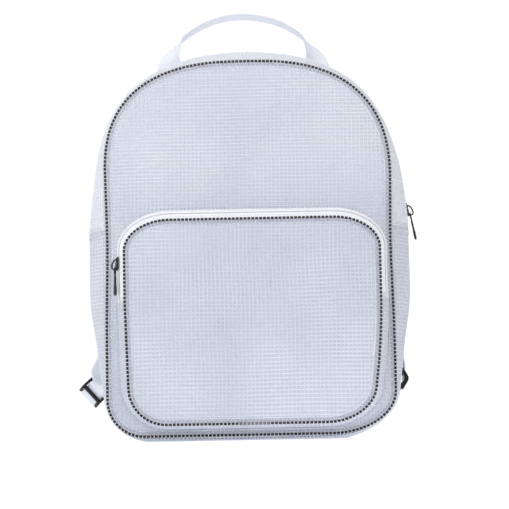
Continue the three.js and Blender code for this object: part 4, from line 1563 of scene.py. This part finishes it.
class Station(NamedTuple):
    """A place on a strip's line, the direction across the strip there, and its width."""

    x: float
    y: float
    z: float
    across_x: float
    across_y: float
    across_z: float
    width: float


class Ribbon:
    """A strip carried along a smooth line through stations."""

    def __init__(self, stations: Sequence[Station], steps: int) -> None:
        """Work out the line, its width and its directions along, across and up.

        Args:
            stations: places that the strip passes through.
            steps: steps between two stations.
        """
        table = np.array(stations)
        self.path = smooth_line(table[:, :3], steps)
        position = np.arange(len(self.path)) / steps
        turned = columns_at(position, np.arange(len(table)), table[:, 3:])
        self.tangent = unit(np.gradient(self.path, axis=0))
        across = turned[:, :3]
        across = across - self.tangent * np.sum(across * self.tangent, axis=1, keepdims=True)
        self.across = unit(across)
        self.up = np.cross(self.across, self.tangent)
        self.half = turned[:, 3] / 2
        self.walked = walked_length(self.path)

    @property
    def length(self) -> float:
        """The strip's length along its middle line."""
        return self.walked[-1]

    def swept(self, profile: Array) -> Shape:
        """The solid strip, from a profile of shares of the half width and heights in millimetres."""
        widths = profile[:, 0] * self.half[:, None]
        heights = np.broadcast_to(profile[:, 1], widths.shape)
        return carried(self.path, self.across, self.up, np.stack((widths, heights), axis=2))

    def beside(self, sign: int, inset: float) -> Array:
        """A line along one edge of the strip, moved in from the edge."""
        return self.path + self.across * (sign * (self.half - inset))[:, None]

    def at(self, along: Array, across: Array, height: float) -> tuple[Array, Array]:
        """Points and normals on the strip at distances along it and from its middle line."""
        table = np.concatenate((self.path, self.across, self.up), axis=1)
        row = columns_at(along, self.walked, table)
        points = row[:, :3] + row[:, 3:6] * across[:, None] + row[:, 6:] * height
        return points, row[:, 6:] * np.sign(height)


# Webbing: the depth of its ribs, and the powers by which ribs and thickness fade at its edges
RIB_DEPTH = 0.14
RIB_POWER = 8
WEB_POWER = 10

# Half the thickness that is left at webbing's edges
WEB_EDGE_HALF = 0.05

# The points of each line of a box of stitches, and its height above the strip
BOX_POINTS = 14
BOX_LIFT = 0.1


def ribbed_profile(thickness: float, ribs: int, count: int = 21) -> Array:
    """A flat section with cosine ribs, whose edges round off by a high power of the share across."""
    share = np.linspace(-1.0, 1.0, count)
    groove = RIB_DEPTH * (1 - np.cos(np.pi * ribs * share)) / 2 * (1 - share**RIB_POWER)
    height = thickness / 2 * (1 - share**WEB_POWER) ** 0.5 - groove
    return two_faced(share, np.maximum(height, WEB_EDGE_HALF))


def box_stitches(ribbon: Ribbon, start: float, end: float, half: float, height: float) -> Shape:
    """A stitched rectangle with its diagonals on one face of a strip, between two distances along it."""
    corners = np.array([[start, -half], [end, -half], [end, half], [start, half]])
    share = np.linspace(0.0, 1.0, BOX_POINTS)[:, None]
    shapes = []
    for first, last in ((0, 1), (1, 2), (2, 3), (3, 0), (0, 2), (1, 3)):
        along, across = (corners[first] + (corners[last] - corners[first]) * share).T
        shapes.append(BOX_STITCH.row(*ribbon.at(along, across, height)))
    return Shape.joined(shapes)


def behind(wall: Wall, x: float, z: float, width: float, thickness: float) -> float:
    """The Y of a strip's middle that lies on the back of a wall."""
    side = np.array([x - width / 2, x + width / 2])
    return float(wall.depth(side, np.array([z, z])).max()) + FILM / 2 + GAP + thickness / 2


@dataclass
class Handle:
    """The carrying loop: legs that lie face on against the back wall and a grip that turns flat.

    Rows run from an end to the middle of the grip: inwards, back, height and the strip's turn in degrees.
    Box is where the sewn box starts and ends, from the end of the strip.
    """

    wall: Wall
    width: float = 25.0
    thickness: float = 1.6
    ribs: int = 8
    centre: float = -3.0
    spread: float = 79.0
    tilt: float = 0.065
    rows: tuple[tuple[float, float, float, float], ...] = (
        (0.0, 0.0, 336.0, 0.0),
        (0.0, 0.0, 370.0, 0.0),
        (-1.0, 1.0, 397.0, 0.0),
        (2.0, 1.5, 411.0, 36.0),
        (9.0, 2.0, 423.0, 66.0),
        (14.5, 2.5, 431.0, 86.0),
        (42.0, 2.5, 447.5, 90.0),
        (75.5, 2.5, 454.5, 90.0),
    )
    box: Pair = (5.0, 32.0)
    box_half: float = 9.0

    def stations(self) -> list[Station]:
        """Stations from the left end over the grip to the right end."""
        seat = behind(self.wall, self.centre - self.spread, self.rows[0][2], self.width, self.thickness)
        half = []
        for inwards, back, height, turned in self.rows:
            angle = math.radians(turned)
            half.append((self.spread - inwards, seat + back, height, math.cos(angle), math.sin(angle)))
        c, w = self.centre, self.width
        left = [Station(c - x, y, z, ax, -ay, self.tilt * ay, w) for x, y, z, ax, ay in half]
        right = [Station(c + x, y, z, -ax, -ay, self.tilt * ay, w) for x, y, z, ax, ay in half[-2::-1]]
        return left + right

    def dress(self) -> None:
        """Place the webbing and its sewn ends."""
        ribbon = Ribbon(self.stations(), 10)
        shape = ribbon.swept(ribbed_profile(self.thickness, self.ribs, 33))
        piece = place("handle", shape, WEBBING, Slot.WEBBING, stands_for=["handle"])
        start, end = self.box
        lift = self.thickness / 2 + BOX_LIFT
        spans = ((start, end), (ribbon.length - end, ribbon.length - start))
        boxes = []
        for face in (-1, 1):
            boxes += [box_stitches(ribbon, *span, self.box_half, face * lift) for span in spans]
        sewn = place("handle_stitches", Shape.joined(boxes), WHITE_THREAD, Slot.WEBBING)


@dataclass(frozen=True)
class StrapLine:
    """One side's strap: the adjuster's frame, and rows of places and directions across for each stretch.

    A row of the strap ends with its width. A row of the anchor begins with X, Z and its lift off the wall.
    """

    side: Side
    centre: Triple
    down: Triple
    bar: Triple
    strap: tuple[tuple[float, ...], ...]
    web_in: tuple[tuple[float, ...], ...]
    web_out: tuple[tuple[float, ...], ...]
    anchor: tuple[tuple[float, ...], ...]


STRAP_LINES = (
    StrapLine(
        Side.LEFT, (-171, 88, 53.1), (-0.633, 0.53, -0.567), (0.667, 0, -0.745),
        strap=(
            (-47, 74, 318, 1, 0, 0, 46),
            (-58, 97, 262, 0.98, 0, -0.2, 46),
            (-78, 108, 205, 0.93, 0, -0.35, 43),
            (-106, 112, 155, 0.85, 0, -0.5, 36),
            (-132, 109, 122, 0.8, 0.05, -0.6, 29),
            (-149, 104, 100, 0.8, 0.1, -0.6, 25),
        ),
        web_in=(
            (-159.5, 97, 83.5, 0.8, 0.1, -0.6),
            (-164, 88.5, 71.5, 0.74, 0.05, -0.67),
        ),
        web_out=(
            (-154, 92, 62, 0.6, 0, -0.8),
            (-146, 88, 55.5, 0.4, 0, -0.92),
            (-138, 79, 46, 0.25, 0, -0.97),
            (-131, 67, 39, 0.2, 0, -0.98),
        ),
        anchor=(
            (-123, 35, 2, 0.15, 0, -0.99),
            (-114, 33, 0.3, 0.15, 0, -0.99),
            (-100, 31, 0, 0.15, 0, -0.99),
        ),
    ),
    StrapLine(
        Side.RIGHT, (161.6, 66, 62), (-0.035, 0, -0.999), (0, 1, 0),
        strap=(
            (47, 74, 318, 1, 0, 0, 46),
            (58, 97, 268, 0.98, 0.1, 0.2, 46),
            (80, 107, 220, 0.85, 0.35, 0.35, 43),
            (108, 106, 182, 0.65, 0.65, 0.35, 36),
            (133, 95, 154, 0.45, 0.85, 0.1, 29),
            (146, 85, 137, 0.3, 0.9, -0.25, 25),
        ),
        web_in=(
            (154, 76, 119, 0.1, 0.95, -0.25),
            (159.5, 68, 96, 0, 1, 0),
        ),
        web_out=(
            (150.5, 70, 88.5, 0.1, 1, 0.1),
            (142, 76, 94, 0.35, 0.9, 0.2),
            (132, 77, 85, 0.75, 0.6, 0.1),
            (127, 69, 70, 0.98, 0.2, 0),
        ),
        anchor=(
            (124.5, 58, 2, 1, 0, 0),
            (123, 49, 0.3, 1, 0, 0),
            (122, 34, 0, 1, 0, 0),
        ),
    ),
)


@dataclass(frozen=True)
class Adjuster:
    """A bent three-bar adjuster, in a frame down the strap, along the bars and outwards.

    The rails bend along a rounded V. The outer bars stand at plus and minus bar_at on their own level.
    """

    half_length: float = 10.5
    half_slot: float = 10.5
    half_width: float = 13.5
    rail: float = 4.0
    bend: float = 6.0
    bend_round: float = 0.2
    bar_at: float = 9.0
    bar_level: float = -2.1
    bar_radius: float = 1.6
    bar_half_height: float = 1.55
    middle_level: float = 2.8
    middle_half_width: float = 2.1

    def shape(self) -> Shape:
        """Two bent rails joined by three bars."""
        t = np.linspace(-1.0, 1.0, 17)
        soft = np.sqrt(t**2 + self.bend_round**2) - self.bend_round
        drop = self.bend / 2 - self.bend * soft / soft[-1]
        half_rail = (self.half_width - self.half_slot) / 2
        reach = self.half_slot + half_rail
        shapes = []
        for side in (-1, 1):
            path = np.stack((t * self.half_length, np.full_like(t, side * reach), drop), axis=1)
            across = everywhere(Y_AXIS, path)
            up = np.cross(unit(np.gradient(path, axis=0)), across)
            shapes.append(carried(path, across, up, superellipse(half_rail, self.rail / 2, SQUARISH, 20)))
        bars = (
            (-self.bar_at, self.bar_level, self.bar_radius),
            (0.0, self.middle_level, self.middle_half_width),
            (self.bar_at, self.bar_level, self.bar_radius),
        )
        for along, level, half in bars:
            path = Y_AXIS * (np.linspace(-1.0, 1.0, 9) * reach)[:, None] + X_AXIS * along + Z_AXIS * level
            section = superellipse(half, self.bar_half_height, OVAL, 16)
            shapes.append(carried(path, everywhere(X_AXIS, path), everywhere(Z_AXIS, path), section))
        return Shape.joined(shapes)


@dataclass
class CarryStrap:
    """A padded shoulder strap, the webbing from its end through the adjuster to the bag, and the adjuster.

    Boxes are where the sewn boxes start and end, from the strap's top and from the webbing's lower end.
    """

    line: StrapLine
    wall: Wall
    adjuster: Adjuster = Adjuster()
    width: float = 46.0
    thickness: float = 5.0
    spread: float = 40.0
    sewn_heights: tuple[float, ...] = (370.0, 360.0, 350.0, 341.0)
    pad_share: float = 0.86
    pad_power: float = 5.0
    edge_half: float = 0.75
    binding_inset: float = 2.2
    binding_half: Pair = (2.4, 1.25)
    seam_inset: float = 3.4
    seam_lift: float = 1.3
    box: Pair = (4.0, 26.0)
    box_half: float = 15.0
    fill: float = 0.5
    web_width: float = 20.0
    web_thickness: float = 1.5
    web_ribs: int = 6
    web_play: float = 0.05
    web_entry: float = 5.0
    web_return: tuple[Pair, ...] = ((0.0, 0.4), (-11.0, 1.2))
    web_box: Pair = (4.0, 21.0)
    web_box_half: float = 7.0

    def adjuster_axes(self) -> Array:
        """Directions down the strap, along the bars and outwards."""
        x = unit(np.array(self.line.down, float))
        bar = np.array(self.line.bar, float)
        y = unit(bar - x * np.dot(bar, x))
        return np.stack((x, y, np.cross(x, y)))

    def strap_ribbon(self) -> Ribbon:
        """The padded strap's line, seated on the back wall at its upper end."""
        x = self.line.side.value * self.spread
        seated = []
        for height in self.sewn_heights:
            y = behind(self.wall, x, height, self.width, self.thickness)
            seated.append(Station(x, y, height, 1.0, 0.0, 0.0, self.width))
        return Ribbon(seated + [Station(*row) for row in self.line.strap], 10)

    def web_through(self) -> list[Pair]:
        """The webbing's places down and out of the adjuster: over its bars, round the last and back."""
        turn = self.adjuster.bar_radius + GAP + self.web_thickness / 2 + self.web_play
        level, at, slant = self.adjuster.bar_level, self.adjuster.bar_at, turn * math.sqrt(0.5)
        over = [(-at - self.web_entry, level + turn), (-at, level + turn), (0.0, 0.0), (at, level + turn)]
        around = [(at + slant, level + slant), (at + turn, level), (at + slant, level - slant)]
        under = [(at, level - turn)] + [(along, level - turn - drop) for along, drop in self.web_return]
        return over + around + under

    def web_stations(self, ribbon: Ribbon) -> list[Station]:
        """Stations of the webbing from the strap's end through the adjuster and back to the bag."""
        x, y, z = self.adjuster_axes()
        centre = np.array(self.line.centre, float)
        end, tangent = ribbon.path[-1], ribbon.tangent[-1]
        end_across = self.line.strap[-1][3:6]
        rows = [(*(end + tangent * reach), *end_across) for reach in (GAP, self.thickness)]
        rows += self.line.web_in
        rows += [(*(centre + x * along + z * out), *y) for along, out in self.web_through()]
        rows += self.line.web_out
        for place_x, place_z, lift, *across in self.line.anchor:
            seat = behind(self.wall, place_x, place_z, self.web_width, self.web_thickness)
            rows.append((place_x, seat + lift, place_z, *across))
        return [Station(*row, self.web_width) for row in rows]

    def padded_profile(self) -> Array:
        """A pad between two flat bound edges: half thickness grows by a power of the share across."""
        share = np.linspace(-1.0, 1.0, 29)
        pad = np.clip(1 - np.abs(share / self.pad_share) ** self.pad_power, 0.0, 1.0) ** 0.5
        return two_faced(share, self.edge_half + (self.thickness / 2 - self.edge_half) * pad)

    def dress_strap(self, ribbon: Ribbon) -> None:
        """Place the padded strap, the bindings along its edges and its stitches."""
        word = self.line.side.word
        name = f"shoulder_strap_{word}"
        pad = place(name, ribbon.swept(self.padded_profile()), STRAP_FILM, Slot.STRAP, stands_for=[name])
        section = superellipse(*self.binding_half, SQUARISH, 16)
        bindings, rows = [], []
        for sign in (-1, 1):
            edge = ribbon.beside(sign, self.binding_inset)
            bindings.append(carried(edge, ribbon.across, ribbon.up, section))
            seam = ribbon.beside(sign, self.seam_inset)
            for face in (-1, 1):
                rows.append(STRAP_STITCH.row(seam + ribbon.up * face * self.seam_lift, ribbon.up * face))
        place(f"strap_binding_{word}", Shape.joined(bindings), WEBBING, Slot.STRAP)
        lift = self.thickness / 2 + BOX_LIFT
        rows += [box_stitches(ribbon, *self.box, self.box_half, face * lift) for face in (-1, 1)]
        place(f"strap_stitches_{word}", Shape.joined(rows), WHITE_THREAD, Slot.STRAP)

    def dress_webbing(self, ribbon: Ribbon) -> None:
        """Place the webbing from the strap's end to the bag, and the stitches at its lower end."""
        word = self.line.side.word
        name = f"strap_webbing_{word}"
        web = Ribbon(self.web_stations(ribbon), 8)
        shape = web.swept(ribbed_profile(self.web_thickness, self.web_ribs))
        piece = place(name, shape, WEBBING, Slot.WEBBING, stands_for=[name])
        near, far = self.web_box
        span = (web.length - far, web.length - near)
        lift = self.web_thickness / 2 + BOX_LIFT
        boxes = [box_stitches(web, *span, self.web_box_half, face * lift) for face in (-1, 1)]
        stitches = place(f"webbing_stitches_{word}", Shape.joined(boxes), WHITE_THREAD, Slot.WEBBING)

    def dress(self) -> None:
        """Place the strap, the webbing and the adjuster."""
        ribbon = self.strap_ribbon()
        self.dress_strap(ribbon)
        self.dress_webbing(ribbon)
        name = f"adjuster_{self.line.side.word}"
        centre = np.array(self.line.centre, float)
        adjuster = repeated(self.adjuster.shape(), centre[None], self.adjuster_axes()[None])
        place(name, adjuster, BLACK_PLASTIC, Slot.ADJUSTER, stands_for=[name])


# Studio and camera

WHITE = (1.0, 1.0, 1.0)
LIGHT_AIM = (0.0, 0.0, 0.2)


@dataclass(frozen=True)
class SoftLight:
    """A soft square light aimed at the middle of the bag, in metres and watts."""

    name: str
    place: Triple
    size: float
    power: float
    colour: Colour = WHITE

    def build(self) -> None:
        """Add the light."""
        data = bpy.data.lights.new(self.name, "AREA")
        data.size = self.size
        data.energy = self.power
        data.color = self.colour
        lamp = bpy.data.objects.new(self.name, data)
        lamp.location = self.place
        lamp.rotation_euler = (Vector(LIGHT_AIM) - Vector(self.place)).to_track_quat("-Z", "Y").to_euler()
        bpy.context.scene.collection.objects.link(lamp)


@dataclass
class Studio:
    """A pale floor, soft lights, a white surround and the camera at the photograph's angle.

    Pitch and roll are degrees, and the two pixel values are the photograph's focal length and width.
    """

    surround: float = 0.63
    backdrop: float = 1.05
    floor_half: float = 6000.0
    floor_level: float = -0.3
    floor_lines: int = 9
    distance: float = 2192.0
    eye_height: float = 10.0
    eye_x: float = 5.5
    pitch: float = 4.75
    roll: float = -1.09
    focal_pixels: float = 2115.0
    image_pixels: float = 509.0
    sight: float = 100.0
    lights: tuple[SoftLight, ...] = (
        SoftLight("key", (-1.5, -1.9, 1.9), 1.5, 17.5),
        SoftLight("top", (0.0, -0.7, 2.3), 1.6, 12.0),
    )

    def build(self) -> None:
        """Add the surround, floor, lights and camera."""
        scene = bpy.context.scene
        scene.view_settings.view_transform = "Standard"
        self.build_surround(scene)
        self.build_floor()
        for light in self.lights:
            light.build()
        data = bpy.data.cameras.new("camera")
        data.lens = data.sensor_width * self.focal_pixels / self.image_pixels
        data.clip_end = self.sight
        camera = bpy.data.objects.new("camera", data)
        camera.location = (self.eye_x * MM, -self.distance * MM, self.eye_height * MM)
        level = Euler((math.radians(90 + self.pitch), 0.0, 0.0)).to_matrix()
        camera.rotation_euler = (level @ Matrix.Rotation(math.radians(self.roll), 3, "Z")).to_euler()
        scene.collection.objects.link(camera)
        scene.camera = camera

    def build_surround(self, scene: bpy.types.Scene) -> None:
        """White all round, brighter where it is seen directly than as a light."""
        world = bpy.data.worlds.new("surround")
        world.use_nodes = True
        world.node_tree.nodes.clear()
        graph = Graph(world.node_tree)
        seen = graph.add("ShaderNodeLightPath").outputs["Is Camera Ray"]
        strength = graph.ranged(seen, self.surround, self.backdrop)
        shader = graph.add("ShaderNodeBackground", {"Color": (*WHITE, 1.0), "Strength": strength})
        graph.add("ShaderNodeOutputWorld", {"Surface": shader.outputs["Background"]})
        scene.world = world

    def build_floor(self) -> None:
        """A wide flat floor just under the bag."""
        line = np.linspace(-self.floor_half, self.floor_half, self.floor_lines)
        x, y = np.meshgrid(line, line, indexing="ij")
        shape = grid_shape(np.stack((x, y, np.full_like(x, self.floor_level)), axis=2))
        mesh = bpy.data.meshes.new("floor")
        mesh.from_pydata((shape.points * MM).tolist(), [], shape.faces[0].tolist())
        mesh.materials.append(PALE_FLOOR.material())
        floor = bpy.data.objects.new("floor", mesh)
        bpy.context.scene.collection.objects.link(floor)


# The bag

# Even steps along upper and lower outlines, the middle of the two large walls, and the pocket piping's joint
BAG_STEPS = (344, 356)
POCKET_STEPS = (236, 220)
WALL_CENTRE = (0.0, 195.0)
PIPING_JOINT = (-12.0, 18.0)


def main() -> None:
    """Build the studio and every piece of the bag, in order."""
    logging.basicConfig(level=logging.INFO, format="%(name)s %(message)s")
    Studio().build()
    front = ArchSize(bottom=5.6).loop(*BAG_STEPS)
    back = ArchSize(bottom=2.5).loop(*BAG_STEPS)
    size = PocketSize()
    pocket = size.loop(*POCKET_STEPS)
    pocket_centre = (size.centre, (size.bottom + size.top) / 2)
    front_wall = Wall("front_panel", front, FRONT_PLANE, crown=-8.0, centre=WALL_CENTRE)
    back_wall = Wall("back_panel", back, BACK_PLANE, crown=5.0, centre=WALL_CENTRE, ripple=0.5)
    pocket_wall = Wall(
        "pocket_panel", pocket, POCKET_PLANE, crown=-5.0, centre=pocket_centre, ripple=0.8, drift=1.2,
        rings=30, level_pitch=4.13, look=POCKET_LOOK,
    )
    for wall in (front_wall, back_wall, pocket_wall):
        wall.dress()
    Piping("front_piping", front, FRONT_PLANE).dress()
    Piping("back_piping", back, BACK_PLANE).dress()
    pocket_piping = Piping("pocket_piping", pocket, POCKET_PLANE)
    pocket_piping.dress()
    pocket_piping.dress_wrap(*PIPING_JOINT)
    gusset = Gusset(front, back)
    gusset.dress()
    band = PocketBand(pocket, front_wall)
    band.dress()
    ZipRunner("main_zip", "main_pull_hinge", Body.MAIN_PULL, gusset, lift=5.0).dress()
    ZipRunner("pocket_zip", "pocket_pull_hinge", Body.POCKET_PULL, band).dress()
    Handle(back_wall).dress()
    for line in STRAP_LINES:
        CarryStrap(line, back_wall).dress()


if __name__ == "__main__":
    main()
